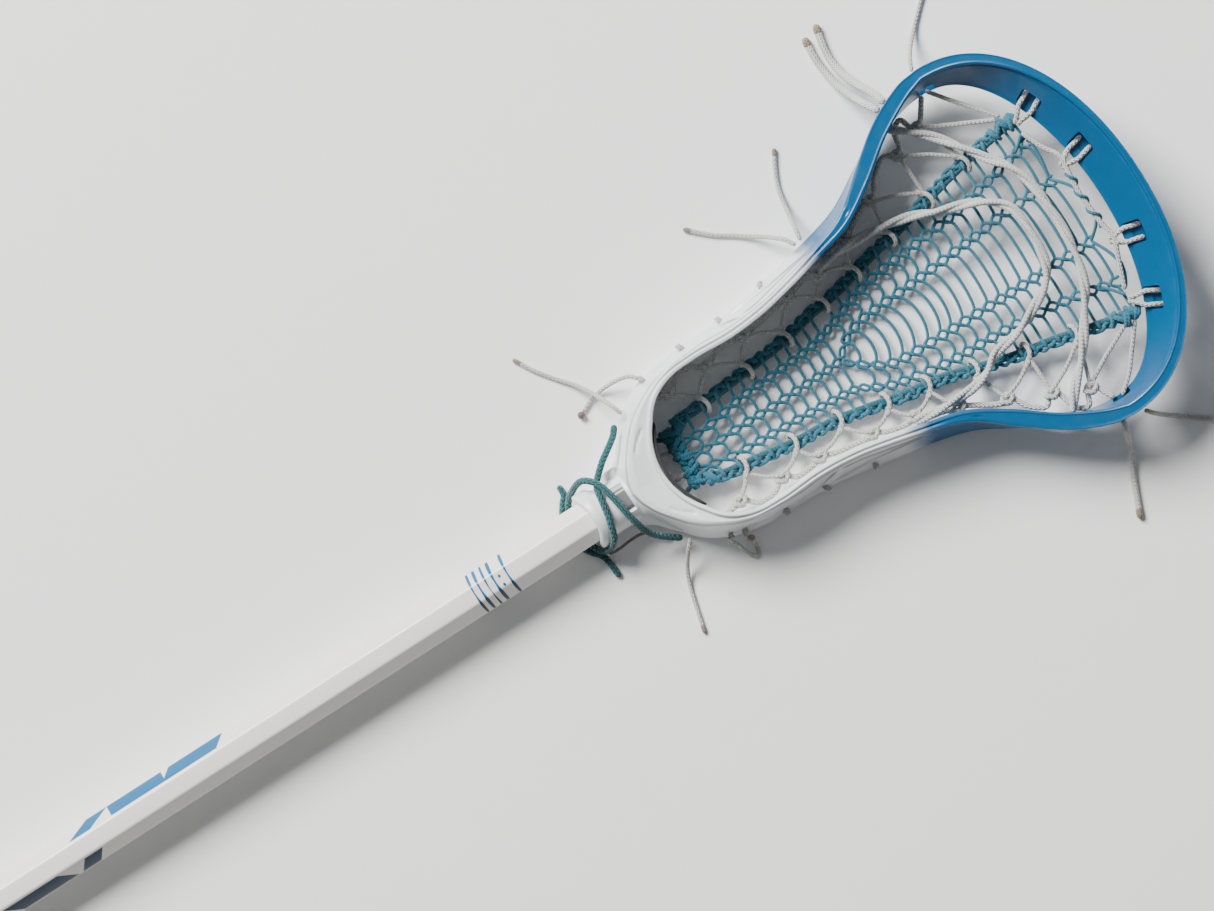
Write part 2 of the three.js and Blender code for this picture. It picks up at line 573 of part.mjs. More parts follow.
const stick = new THREE.Group();
const head = new THREE.Group();
head.position.x = HEAD_X;
head.add(makeHead(), makeBallStop(), makeScrew(), ...makeRunner(), ...makeWallStrings(), ...makeShooters(),
  ...makeScoopStrings(), ...makeThroatCords(), ...makeTails());
stick.add(makeShaft(), makeEndCap(), head);

export default stick;
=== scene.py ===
"""A women's lacrosse stick lying face up: moulded head, strung pocket, eight-sided shaft, rubber cap.

The shaft and its cap are worked out in metres. All that is on the head is in millimetres from the
head's datum, its ball stop line on the floor, and place() turns it into metres in the frame.
"""
import math

import bpy
import numpy as np
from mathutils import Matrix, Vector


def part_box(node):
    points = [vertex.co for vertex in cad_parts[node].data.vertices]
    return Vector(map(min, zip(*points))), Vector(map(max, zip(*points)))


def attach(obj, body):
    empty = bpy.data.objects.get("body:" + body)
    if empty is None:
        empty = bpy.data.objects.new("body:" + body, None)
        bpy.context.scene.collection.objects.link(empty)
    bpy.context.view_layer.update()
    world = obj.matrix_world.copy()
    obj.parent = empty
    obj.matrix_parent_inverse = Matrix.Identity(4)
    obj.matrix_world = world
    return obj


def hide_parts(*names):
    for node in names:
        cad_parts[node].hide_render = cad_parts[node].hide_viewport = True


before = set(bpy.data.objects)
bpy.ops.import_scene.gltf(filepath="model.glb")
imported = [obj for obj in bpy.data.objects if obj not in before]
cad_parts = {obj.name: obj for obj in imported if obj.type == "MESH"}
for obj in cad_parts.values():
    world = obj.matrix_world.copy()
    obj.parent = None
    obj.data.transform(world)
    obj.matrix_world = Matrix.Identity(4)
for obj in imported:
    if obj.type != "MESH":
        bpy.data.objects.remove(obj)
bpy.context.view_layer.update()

# ---------------------------------------------------------------------------------------------
# Studio: a pale floor under the stick, one large soft lamp high on its left and a pale sky. The
# camera looks straight down on the head, with the shaft running off to the lower left.
VIEW_WIDTH = 0.6226
VIEW_TURN = math.radians(32.7)
VIEW_CENTRE = (-0.0171, 0.0237)
VIEW_HEIGHT = 0.03
CAMERA_RISE = 6.0
SENSOR_WIDTH = 36
LAMP_AIM = (0.15, 0, 0)
HEAD_TIP = 0.2912
HEAD_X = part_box("head_frame")[1][0] - HEAD_TIP


def add_camera():
    """Straight down, so far up that the view's width is measured at the height of the stick's face."""
    data = bpy.data.cameras.new("overhead")
    data.sensor_width = SENSOR_WIDTH
    data.lens = SENSOR_WIDTH * CAMERA_RISE / VIEW_WIDTH
    data.clip_end = 50
    camera = bpy.data.objects.new("overhead", data)
    camera.location = (HEAD_X + VIEW_CENTRE[0], VIEW_CENTRE[1], CAMERA_RISE + VIEW_HEIGHT)
    camera.rotation_euler = (0, 0, -VIEW_TURN)
    bpy.context.scene.collection.objects.link(camera)
    bpy.context.scene.camera = camera


def add_lamp(name, place_at, size, power, colour):
    data = bpy.data.lights.new(name, "AREA")
    data.shape = "DISK"
    data.size = size
    data.energy = power
    data.color = colour
    lamp = bpy.data.objects.new(name, data)
    lamp.location = place_at
    aim = np.array(LAMP_AIM) - np.array(place_at)
    lamp.rotation_euler = (
        math.atan2(math.hypot(aim[0], aim[1]), -aim[2]), 0, math.atan2(aim[1], aim[0]) - math.pi / 2)
    bpy.context.scene.collection.objects.link(lamp)


add_camera()
add_lamp("key", (-0.4, 3.3, 2.9), 2.4, 540, (1.0, 0.99, 0.97))
sky = bpy.data.worlds.new("sky")
sky.use_nodes = True
sky.node_tree.nodes["Background"].inputs["Color"].default_value = (0.96, 0.98, 1.0, 1)
sky.node_tree.nodes["Background"].inputs["Strength"].default_value = 0.2
bpy.context.scene.world = sky


def mesh_object(name, verts, faces, uv=None, smooth=True):
    """An object at the origin from a vertex array, a face list and per-corner UVs."""
    mesh = bpy.data.meshes.new(name)
    mesh.from_pydata(np.asarray(verts, float).tolist(), [], faces)
    if uv is not None:
        mesh.uv_layers.new(name="UVMap").data.foreach_set("uv", np.asarray(uv, np.float32).ravel())
    mesh.polygons.foreach_set("use_smooth", [smooth] * len(mesh.polygons))
    mesh.update()
    thing = bpy.data.objects.new(name, mesh)
    bpy.context.scene.collection.objects.link(thing)
    return thing


def node(tree, kind, inputs=None, **settings):
    """A shader node with its settings, and its inputs set to values or linked to sockets."""
    made = tree.nodes.new(kind)
    for key, value in settings.items():
        setattr(made, key, value)
    for key, value in (inputs or {}).items():
        if isinstance(value, bpy.types.NodeSocket):
            tree.links.new(value, made.inputs[key])
        else:
            made.inputs[key].default_value = value
    return made


def maths(tree, operation, *values):
    """The output of one Math node on the given values or sockets."""
    return node(tree, "ShaderNodeMath", dict(enumerate(values)), operation=operation).outputs[0]


def mix_colour(tree, factor, first, second, blend="MIX"):
    """The first colour where the factor is 0 and the second, blended in, where it is 1."""
    made = node(tree, "ShaderNodeMix", data_type="RGBA", blend_type=blend)
    for socket, value in ((made.inputs[0], factor), (made.inputs[6], first), (made.inputs[7], second)):
        if isinstance(value, bpy.types.NodeSocket):
            tree.links.new(value, socket)
        else:
            socket.default_value = value if isinstance(value, float) else (*value, 1)
    return made.outputs[2]


def new_material(name, **shader):
    """A material with one Principled shader whose constant sockets are set by name."""
    material = bpy.data.materials.new(name)
    material.use_nodes = True
    principled = material.node_tree.nodes["Principled BSDF"]
    for key, value in shader.items():
        principled.inputs[key.replace("_", " ")].default_value = value
    return material, material.node_tree, principled


def object_coords(tree):
    """Places on the piece in metres, for patterns that stay with it."""
    return node(tree, "ShaderNodeTexCoord").outputs["Object"]


def noise(tree, coords, scale, detail):
    """A cloudy value from 0 to 1."""
    made = node(tree, "ShaderNodeTexNoise", {"Vector": coords, "Scale": scale, "Detail": detail})
    return made.outputs["Fac"]


def feed(tree, shader, **sockets):
    """Links outputs to the shader's sockets, whose names have underscores for spaces."""
    for key, socket in sockets.items():
        tree.links.new(socket, shader.inputs[key.replace("_", " ")])


def add_floor(half_width=4, count=9):
    """A flat square grid of points at height zero."""
    steps = np.linspace(-half_width, half_width, count)
    x, y = np.meshgrid(steps, steps, indexing="ij")
    verts = np.stack([x, y, np.zeros_like(x)], -1).reshape(-1, 3)
    i, j = np.meshgrid(np.arange(count - 1), np.arange(count - 1), indexing="ij")
    corner = (i * count + j).reshape(-1, 1)
    floor = mesh_object("floor", verts, (corner + [0, count, count + 1, 1]).tolist())
    material, tree, shader = new_material("floor_paper", Roughness=0.95)
    grain = noise(tree, object_coords(tree), 60.0, 4.0)
    feed(tree, shader, Base_Color=mix_colour(tree, grain, (0.94, 0.94, 0.94), (0.97, 0.97, 0.97)))
    floor.data.materials.append(material)


add_floor()

# ---------------------------------------------------------------------------------------------
# String ends: the loose tails of the stringing, braided nylon cut and melted at the tip, that
# come out of the head's walls and drop to the floor.
# A braided cord is a rod whose skin rises and falls in two crossing helices of strands.


def place(points):
    """Head millimetres to row metres."""
    return np.asarray(points, float) / 1000 + np.array([HEAD_X, 0, 0])


def smooth_path(points, spacing):
    """Evenly spaced points on the cubic through the given ones.

    Each end slope is half the chord between the neighbours, and the curve is then read off at
    equal steps of its own length.
    """
    p = np.asarray(points, float)
    p = np.vstack([2 * p[0] - p[1], p, 2 * p[-1] - p[-2]])
    t = np.linspace(0, 1, 24, endpoint=False)[None, :, None]
    a, b, c, d = (p[k:len(p) - 3 + k][:, None, :] for k in range(4))
    curve = 0.5 * (2 * b + (c - a) * t + (2 * a - 5 * b + 4 * c - d) * t ** 2
                   + (3 * b - a - 3 * c + d) * t ** 3)
    curve = np.vstack([curve.reshape(-1, 3), p[-2]])
    run = np.concatenate([[0], np.cumsum(np.linalg.norm(np.diff(curve, axis=0), axis=1))])
    count = max(3, int(round(run[-1] / spacing)) + 1)
    even = np.linspace(0, run[-1], count)
    return np.stack([np.interp(even, run, curve[:, k]) for k in range(3)], -1)


def path_frame(path):
    """Unit tangent, side and up along a path: side turns with the path as little as it can."""
    tangent = np.gradient(path, axis=0)
    tangent /= np.linalg.norm(tangent, axis=1, keepdims=True)
    side = np.zeros_like(path)
    before = np.cross(tangent[0], np.eye(3)[np.argmin(np.abs(tangent[0]))])
    for k, along in enumerate(tangent):
        before = before - along * (before @ along)
        before /= math.sqrt(before @ before)
        side[k] = before
    return tangent, side, np.cross(side, tangent)


def rod_arrays(path, radius, sides=10, strands=0, pitch=1.0, relief=0.0):
    """Vertices, faces and UVs of a rod with round ends.

    A vertex is the path's point plus radius times (cos a side + sin a up). With strands, the
    radius also carries two families of helices: over and under each other in turn, as a braid.
    UV is the turn from 0 to 1 and the length in millimetres.
    """
    path = np.asarray(path, float)
    tangent, side, up = path_frame(path)
    radius = np.broadcast_to(np.asarray(radius, float), len(path)).copy()
    run = np.concatenate([[0], np.cumsum(np.linalg.norm(np.diff(path, axis=0), axis=1))])
    bend = np.radians([72, 40])
    start = path[0] - tangent[0] * radius[0] * np.sin(bend)[:, None]
    finish = path[-1] + tangent[-1] * radius[-1] * np.sin(bend[::-1])[:, None]
    centre = np.vstack([start, path, finish])
    ring_radius = np.concatenate([radius[0] * np.cos(bend), radius, radius[-1] * np.cos(bend[::-1])])
    ring_run = np.concatenate([
        run[0] - radius[0] * np.sin(bend), run, run[-1] + radius[-1] * np.sin(bend[::-1])])
    side = np.vstack([side[:1], side[:1], side, side[-1:], side[-1:]])
    up = np.vstack([up[:1], up[:1], up, up[-1:], up[-1:]])
    turn = np.arange(sides) / sides
    angle = 2 * np.pi * turn
    skin = np.ones((len(centre), sides))
    if strands:
        first = turn[None, :] * strands + ring_run[:, None] * 1000 / pitch
        second = turn[None, :] * strands - ring_run[:, None] * 1000 / pitch
        over = (np.floor(first) + np.floor(second)) % 2
        height = np.where(over > 0, np.sin(np.pi * (first % 1)), np.sin(np.pi * (second % 1)))
        skin = 1 + relief * (height - 0.6)
    reach = (ring_radius[:, None] * skin)[:, :, None]
    grid = centre[:, None, :] + reach * (np.cos(angle)[None, :, None] * side[:, None, :]
                                         + np.sin(angle)[None, :, None] * up[:, None, :])
    poles = np.stack([path[0] - tangent[0] * radius[0], path[-1] + tangent[-1] * radius[-1]])
    verts = np.vstack([grid.reshape(-1, 3), poles])
    rings = len(centre)
    i, j = np.meshgrid(np.arange(rings - 1), np.arange(sides), indexing="ij")
    k = (j + 1) % sides
    near, far = i * sides, (i + 1) * sides
    quads = np.stack([near + j, near + k, far + k, far + j], -1).reshape(-1, 4)
    u0, u1 = j / sides, (j + 1) / sides
    v0, v1 = ring_run[i] * 1000, ring_run[i + 1] * 1000
    quad_uv = np.stack([np.stack([u, v], -1) for u, v in ((u0, v0), (u1, v0), (u1, v1), (u0, v1))], -2)
    j = np.arange(sides)
    k = (j + 1) % sides
    last = (rings - 1) * sides
    first_cap = np.stack([np.full(sides, rings * sides), k, j], -1)
    last_cap = np.stack([np.full(sides, rings * sides + 1), last + j, last + k], -1)
    cap_uv = np.zeros((sides * 3, 2))
    cap_uv[:, 0] = np.repeat(turn, 3)
    faces = quads.tolist() + first_cap.tolist() + last_cap.tolist()
    uv = np.vstack([quad_uv.reshape(-1, 2), cap_uv, cap_uv + [0, run[-1] * 1000]])
    facing = np.cross(grid[2, 1] - grid[2, 0], grid[3, 0] - grid[2, 0])
    if facing @ (grid[2, 0] - centre[2]) < 0:
        faces = [face[::-1] for face in faces]
        flip = np.concatenate([np.arange(4 * len(quads)).reshape(-1, 4)[:, ::-1].ravel(),
                               4 * len(quads) + np.arange(6 * sides).reshape(-1, 3)[:, ::-1].ravel()])
        uv = uv[flip]
    return verts, faces, uv


def joined(name, parts):
    """One object from several (vertices, faces, UVs)."""
    verts, faces, uvs, start = [], [], [], 0
    for part_verts, part_faces, part_uv in parts:
        verts.append(part_verts)
        faces += [[start + v for v in face] for face in part_faces]
        uvs.append(part_uv)
        start += len(part_verts)
    return mesh_object(name, np.vstack(verts), faces, np.vstack(uvs))


def fit(thing, material, slot, body, *nodes):
    """Gives a piece its material and puts it on its body in place of its CAD nodes. The slot is not used."""
    thing.data.materials.append(material)
    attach(thing, body)
    if nodes:
        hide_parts(*nodes)
    return thing


def braid_group():
    """Braided skin from UV: diagonal strands counted round the cord, over and under in turn."""
    group = bpy.data.node_groups.new("braid", "ShaderNodeTree")
    for socket, way in (("Strands", "INPUT"), ("Pitch", "INPUT"), ("Height", "OUTPUT"), ("Dirt", "OUTPUT")):
        group.interface.new_socket(socket, in_out=way, socket_type="NodeSocketFloat")
    given = group.nodes.new("NodeGroupInput")
    result = group.nodes.new("NodeGroupOutput")
    uv = node(group, "ShaderNodeUVMap", uv_map="UVMap").outputs[0]
    split = node(group, "ShaderNodeSeparateXYZ", {0: uv})
    around = maths(group, "MULTIPLY", split.outputs[0], given.outputs["Strands"])
    along = maths(group, "DIVIDE", split.outputs[1], given.outputs["Pitch"])
    first = maths(group, "ADD", around, along)
    second = maths(group, "SUBTRACT", around, along)
    cell = maths(group, "ADD", maths(group, "FLOOR", first), maths(group, "FLOOR", second))
    over = maths(group, "FLOORED_MODULO", cell, 2.0)
    rises = [maths(group, "SINE", maths(group, "MULTIPLY", maths(group, "FRACT", line), math.pi))
             for line in (first, second)]
    upper = maths(group, "MULTIPLY", rises[0], over)
    lower = maths(group, "MULTIPLY", rises[1], maths(group, "SUBTRACT", 1.0, over))
    group.links.new(maths(group, "ADD", upper, lower), result.inputs["Height"])
    group.links.new(noise(group, object_coords(group), 90.0, 3.0), result.inputs["Dirt"])
    return group


BRAID = braid_group()


def remap(tree, value, low, high, to_low=0.0, to_high=1.0):
    """The value's way from low to high, spread between two other limits and held at them."""
    return node(tree, "ShaderNodeMapRange", {
        "Value": value, "From Min": low, "From Max": high, "To Min": to_low, "To Max": to_high}).outputs[0]


def bumped(tree, height, strength, distance):
    """A surface normal tilted by a height."""
    return node(tree, "ShaderNodeBump", {
        "Height": height, "Strength": strength, "Distance": distance}).outputs[0]


def string_material(name, colour, crease_shade, strands=8.0, pitch=1.6, relief=0.0004, roughness=0.75):
    """Braided string: the creases between strands are painted darker as shade, and the whole is slightly
    uneven.
    """
    material, tree, shader = new_material(name, Roughness=roughness, Sheen_Weight=0.25, Sheen_Roughness=0.5)
    braid = node(tree, "ShaderNodeGroup", {"Strands": strands, "Pitch": pitch}, node_tree=BRAID)
    # Painted shade: where the braid lies low, the colour darkens towards the crease colour.
    braid_with_shade = mix_colour(tree, remap(tree, braid.outputs["Height"], 0.1, 0.8), crease_shade, colour)
    dirt = remap(tree, braid.outputs["Dirt"], 0.0, 1.0, 0.55, 1.2)
    feed(tree, shader, Base_Color=mix_colour(tree, 0.35, braid_with_shade, dirt, "MULTIPLY"),
         Normal=bumped(tree, braid.outputs["Height"], 0.8, relief))
    return material


# The second colour of each string material is the painted shade in its braid's creases.
WHITE = string_material("white_braid", (0.76, 0.76, 0.73), (0.22, 0.21, 0.19), 6.0, 2.2, 0.0007)
SOFT_WHITE = string_material("soft_knit", (0.72, 0.73, 0.71), (0.42, 0.42, 0.41), 8.0, 2.0, 0.0005, 0.9)
BURNT = string_material("melted_tip", (0.30, 0.235, 0.17), (0.13, 0.095, 0.065), 6.0, 2.0, 0.0003, 0.5)

TAILS = {
    "tail_throat_left": (2.2, [
        (0.4, 38.8, 20), (-1, 43, 19.5), (-3.5, 49, 15), (-7, 56, 8.5), (-12, 64, 3.4), (-18, 71, 1.3),
        (-25, 80.5, 1.3), (-30.5, 90, 1.3)]),
    "tail_beaded_left": (2.2, [
        (17, 49.2, 14), (14, 52, 13), (9, 53.4, 10), (3, 53.8, 5.6), (-3, 53.4, 2.4), (-9, 52, 1.4),
        (-14.4, 49.6, 1.3)]),
    "tail_wall_left_back": (2.4, [
        (122.4, 63.4, 16), (119.5, 68, 14), (114, 73, 9), (107.5, 77.8, 4), (99.5, 83.5, 1.5), (90, 90, 1.4),
        (80, 99.4, 1.4)]),
    "tail_wall_left_front": (2.4, [
        (126.6, 64.2, 16), (127.4, 69.6, 14), (128.4, 76, 9), (129.6, 83, 4), (131.6, 92, 1.5),
        (135.4, 101, 1.4), (140, 109, 1.4)]),
    "tail_shooter_left_1": (4, [
        (195.2, 98.6, 24), (191.6, 104.8, 20), (188.2, 112.5, 12), (185.2, 122, 5.5), (183.8, 132, 2.4),
        (183.6, 140, 2.2), (184.3, 147.4, 2.2)]),
    "tail_shooter_left_2": (4, [
        (200, 100.8, 24), (198.2, 107, 20), (193.6, 116, 12.5), (190.6, 125.5, 5.5), (189.8, 134, 2.4),
        (190.8, 142.6, 2.2), (192.6, 150.2, 2.2)]),
    "tail_corner_left": (2.2, [
        (221.6, 106, 20), (223.4, 110, 18), (226.4, 114.5, 11), (230.4, 119, 5), (235.4, 124, 1.8),
        (240.6, 129, 1.3), (248, 136, 1.3)]),
    "tail_corner_right_back": (3.4, [
        (215.6, -105.4, 20), (214.4, -109.6, 18), (212.6, -115.6, 11), (209.6, -122.6, 4.6),
        (205.6, -131, 2.2), (201.6, -140.4, 1.9), (197.5, -150, 1.9)]),
    "tail_corner_right_front": (2.6, [
        (228.6, -106.6, 20), (231, -109.4, 18), (235.4, -113.4, 11), (240.6, -117.4, 4.6), (247, -122.4, 1.8),
        (254, -127.6, 1.5), (262, -133.4, 1.5)]),
    "tail_throat_right": (2.2, [
        (-4.6, -35.8, 16), (-7.4, -39, 15), (-10.6, -43, 10), (-13.8, -48, 5), (-17, -55, 1.8),
        (-20, -65, 1.3), (-23.6, -79, 1.3)]),
}
BEADED = "tail_beaded_left"
THICK_TAIL = 3


def melted_end(name, path, diameter):
    """The melted tip: a rod a little thicker than the cord and thickest in its middle, over the tail's
    last 2.4 mm and one step past its end."""
    end = smooth_path(path[-4:], 0.0006)[-5:]
    end = np.vstack([end, end[-1] + (end[-1] - end[-2])])
    swell = 1.04 + 0.06 * np.sin(np.linspace(0, np.pi, len(end)))
    return mesh_object(name, *rod_arrays(end, diameter / 2 * swell, 16))


for tail, (size, route) in TAILS.items():
    line = smooth_path(place(route), 0.0009)
    soft = size > THICK_TAIL
    braid = (12, 2.2, 0.06) if soft else (8, 2.6, 0.12)
    rod = rod_arrays(line, size / 2000, 24, *braid)
    tail_cord = fit(mesh_object(tail + "_cord", *rod), SOFT_WHITE if soft else WHITE,
                    "shooter_string" if soft else "white_string", "stick", tail)
    if tail == BEADED:
        extras = ["tail_bead_left"]
        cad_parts["tail_bead_left"].data.materials.clear()
        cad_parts["tail_bead_left"].data.materials.append(BURNT)
    else:
        extras = [fit(melted_end(tail + "_tip", line, size / 1000), BURNT, "burnt_tip", "stick")]
    reach = float(np.linalg.norm(np.diff(line, axis=0), axis=1).sum())

# ---------------------------------------------------------------------------------------------
# Shaft: an eight-sided drawn aluminium tube, painted warm white, with printed blue blades near its
# middle and thin ripples near the head. The prints are plain shapes.
AXIS_HEIGHT = 15
AXIS_Z = AXIS_HEIGHT / 1000
SHAFT_FLATS = 0.0222
SHAFT_WALL = 0.0014
SHAFT_CORNER = 0.0026
SHAFT_CHAMFER = 0.0003
SHAFT_BLUE = (0.0, 0.12, 0.30)
BARE_FROM = -0.029
# A blade: its start and stop along the shaft, its side, its slant, its inner and outer edge.
BLADES = [
    (-0.351, -0.338, 1, 2.6, 0.0056, 0.0109), (-0.331, -0.298, 1, 0.0, 0.0056, 0.0109),
    (-0.297, -0.264, 1, 1.3, 0.0056, 0.0109), (-0.40, -0.3665, -1, 1.9, 0.0055, 0.0109),
    (-0.3565, -0.3455, -1, -0.8, 0.0055, 0.0109)]
BLADE_MIDDLE = 0.008
# A ripple: its place, its half width and how far that swings in millimetres, the swing's radians
# per metre and phase. The one with a negative half width is a row of beads.
RIPPLES = [
    (-0.0929, 0.65, 0.22, 400.0, 4.5), (-0.1005, 0.75, 0.25, 400.0, 4.6), (-0.1046, 0.50, 0.20, 300.0, 5.6),
    (-0.1088, 0.70, 0.22, 400.0, 4.3), (-0.1126, 0.60, 0.20, 400.0, 4.4),
    (-0.0971, -0.10, 0.85, 1256.0, -0.3)]
RIPPLE_BOW = 9.0
RIPPLE_BEADS = (-0.0058, 0.004)


def octagon_ring(flats, corner, corner_points=7):
    """Points of an eight-sided ring in Y and Z: at each corner an arc about a point set in from it."""
    turn = math.pi / 8 + np.arange(8) * math.pi / 4
    sweep = np.linspace(-math.pi / 8, math.pi / 8, corner_points)
    reach = (flats / 2 - corner) / math.cos(math.pi / 8)
    angle = turn[:, None] + sweep[None, :]
    y = reach * np.cos(turn)[:, None] + corner * np.cos(angle)
    z = reach * np.sin(turn)[:, None] + corner * np.sin(angle)
    return np.stack([y.ravel(), z.ravel()], -1)


def ring_faces(rows, columns, close_rows=False):
    """Quads of a grid that closes on itself across its columns, and down its rows if asked."""
    i, j = np.meshgrid(np.arange(rows if close_rows else rows - 1), np.arange(columns), indexing="ij")
    n, k = (i + 1) % rows, (j + 1) % columns
    return np.stack([i * columns + j, i * columns + k, n * columns + k, n * columns + j], -1).reshape(-1, 4)


def outward(verts, faces):
    """Faces turned so that the closed surface's volume is positive."""
    p = np.asarray(verts)
    q = np.asarray(faces)
    volume = np.einsum("ij,ij->i", p[q[:, 0]], np.cross(p[q[:, 1]], p[q[:, 2]])).sum()
    volume += np.einsum("ij,ij->i", p[q[:, 0]], np.cross(p[q[:, 2]], p[q[:, 3]])).sum()
    return q.tolist() if volume > 0 else q[:, ::-1].tolist()


def closed_grid(name, grid, sharp=35):
    """A surface closed both ways, from a grid of points."""
    verts = grid.reshape(-1, 3)
    thing = mesh_object(name, verts, outward(verts, ring_faces(*grid.shape[:2], close_rows=True)))
    thing.data.set_sharp_from_angle(angle=math.radians(sharp))
    return thing


def make_shaft():
    """Rings along X: outside from the butt to the head, then back inside, with chamfered rims."""
    low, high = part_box("shaft_tube")
    outer = octagon_ring(SHAFT_FLATS, SHAFT_CORNER)
    inner = octagon_ring(SHAFT_FLATS - 2 * SHAFT_WALL, SHAFT_CORNER - SHAFT_WALL)
    rim = outer - np.sign(outer) * SHAFT_CHAMFER
    rows = [(low[0], rim), (low[0] + SHAFT_CHAMFER, outer)]
    rows += [(x, outer) for x in np.linspace(low[0] + 0.02, high[0] - 0.02, 40)]
    rows += [(high[0] - SHAFT_CHAMFER, outer), (high[0], rim), (high[0], inner), (low[0], inner)]
    grid = np.stack([np.column_stack([np.full(len(yz), x), yz[:, 0], yz[:, 1] + AXIS_Z]) for x, yz in rows])
    return closed_grid("painted_shaft", grid, 25)


def between(tree, value, low, high, soft=0.0002):
    """A mask that is 1 where the value lies between two limits, with a soft edge."""
    rise = remap(tree, value, low - soft, low + soft)
    fall = remap(tree, value, high + soft, high - soft)
    return maths(tree, "MULTIPLY", rise, fall)


def blade_ink(tree, x, y):
    """A mask of the blades: bands between two lines across the shaft, slanted along it."""
    ink = 0.0
    for start, stop, side, slant, inner, outer in BLADES:
        across = maths(tree, "MULTIPLY", y, float(side))
        lean = maths(tree, "MULTIPLY", maths(tree, "SUBTRACT", across, BLADE_MIDDLE), slant)
        length = between(tree, maths(tree, "SUBTRACT", x, lean), start, stop)
        blade = maths(tree, "MULTIPLY", length, between(tree, across, inner, outer))
        ink = maths(tree, "MAXIMUM", ink, blade)
    return ink


def ripple_ink(tree, x, y):
    """A mask of the ripples: lines bowed by y squared, whose width follows a sine over y."""
    ink = 0.0
    bow = maths(tree, "MULTIPLY", maths(tree, "MULTIPLY", y, y), RIPPLE_BOW)
    for at, thick, swing, turns, phase in RIPPLES:
        off = maths(tree, "ABSOLUTE", maths(tree, "SUBTRACT", maths(tree, "SUBTRACT", x, at), bow))
        wave = maths(tree, "SINE", maths(tree, "MULTIPLY_ADD", y, turns, phase))
        width = maths(tree, "MULTIPLY_ADD", wave, swing * 0.001, thick * 0.001)
        ripple = remap(tree, maths(tree, "SUBTRACT", width, off), -0.0001, 0.0001)
        if thick < 0:
            ripple = maths(tree, "MULTIPLY", ripple, between(tree, y, *RIPPLE_BEADS))
        ink = maths(tree, "MAXIMUM", ink, ripple)
    return ink


def shaft_material():
    """Warm white paint with blue ink, the ink painted darker on the -Y side as shade, bare metal inside the
    socket, and scuffs drawn out along the tube."""
    material, tree, shader = new_material("shaft_paint", Roughness=0.33, Coat_Weight=0.25, Coat_Roughness=0.2)
    coords = object_coords(tree)
    split = node(tree, "ShaderNodeSeparateXYZ", {0: coords})
    x = maths(tree, "SUBTRACT", split.outputs[0], HEAD_X)
    y = split.outputs[1]
    top_half = maths(tree, "GREATER_THAN", split.outputs[2], AXIS_Z)
    blades = maths(tree, "MULTIPLY", blade_ink(tree, x, y), top_half)
    ink = maths(tree, "MAXIMUM", blades, ripple_ink(tree, x, y))
    speck = noise(tree, coords, 700.0, 2.0)
    paint = mix_colour(tree, speck, (0.80, 0.79, 0.74), (0.86, 0.85, 0.80))
    blue = mix_colour(tree, speck, (0.0, 0.105, 0.26), SHAFT_BLUE)
    # Painted shade: the ink turns dark navy towards the -Y side, away from the lamp.
    blue = mix_colour(tree, remap(tree, y, -0.002, -0.006), blue, (0.0, 0.03, 0.075))
    bare = maths(tree, "GREATER_THAN", x, BARE_FROM)
    printed = mix_colour(tree, ink, paint, blue)
    drawn_out = node(tree, "ShaderNodeMapping", {"Vector": coords, "Scale": (6.0, 60.0, 60.0)}).outputs[0]
    scuff = noise(tree, drawn_out, 6.0, 5.0)
    feed(tree, shader, Base_Color=mix_colour(tree, bare, printed, (0.16, 0.165, 0.17)),
         Roughness=remap(tree, scuff, 0.3, 0.8, 0.26, 0.48), Normal=bumped(tree, speck, 0.25, 0.0001))
    return material


fit(make_shaft(), shaft_material(), "shaft_paint", "stick", "shaft_tube")

# ---------------------------------------------------------------------------------------------
# End cap: moulded black rubber, pushed over the butt of the shaft. It has a thicker rim at the
# end, shallow grip rings round its sleeve and a flat end face.
CAP_SIDES = 96


def capped_rings(rows, columns):
    """Quads between rings of points, with a fan from each end ring to one of the last two points."""
    j = np.arange(columns)
    k = (j + 1) % columns
    pole, last = np.full(columns, rows * columns), (rows - 1) * columns
    return (ring_faces(rows, columns).tolist() + np.stack([pole, k, j], -1).tolist()
            + np.stack([pole + 1, last + j, last + k], -1).tolist())


def make_end_cap():
    """Rings of radius r at distance h from the butt; the sleeve's rings follow a rounded wave."""
    low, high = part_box("end_cap")
    length = high[0] - low[0]
    sleeve = np.linspace(0.0145, length - 0.003, 60)
    wave = np.clip(np.sin((sleeve - 0.0145) / 0.0042 * 2 * math.pi), -0.5, 1) * 0.00035
    profile = [(0.0000, 0.0001), (0.0060, 0.0001), (0.0070, 0.0006), (0.0080, 0.0006), (0.0090, 0.0000),
               (0.0120, 0.0000), (0.0137, 0.0006), (0.0148, 0.0018), (0.0150, 0.0034), (0.0150, 0.0086),
               (0.0148, 0.0102), (0.0142, 0.0118), (0.0139, 0.0132)]
    profile += list(zip(0.0136 + wave, sleeve))
    profile += [(0.0137, length - 0.0018), (0.0134, length - 0.0006), (0.0130, length), (0.0125, length),
                (0.0124, length - 0.001), (0.0124, 0.0052), (0.0124, 0.0050), (0.0000, 0.0050)]
    r, h = np.array(profile).T
    angle = np.arange(CAP_SIDES) / CAP_SIDES * 2 * math.pi
    grid = np.stack([np.repeat((low[0] + h)[:, None], CAP_SIDES, 1), r[:, None] * np.cos(angle),
                     r[:, None] * np.sin(angle) + AXIS_Z], -1)
    body = grid[1:-1].reshape(-1, 3)
    poles = np.array([[low[0] + h[0], 0, AXIS_Z], [low[0] + h[-1], 0, AXIS_Z]])
    cap = mesh_object("rubber_cap", np.vstack([body, poles]), capped_rings(len(grid) - 2, CAP_SIDES))
    cap.data.set_sharp_from_angle(angle=math.radians(50))
    return cap


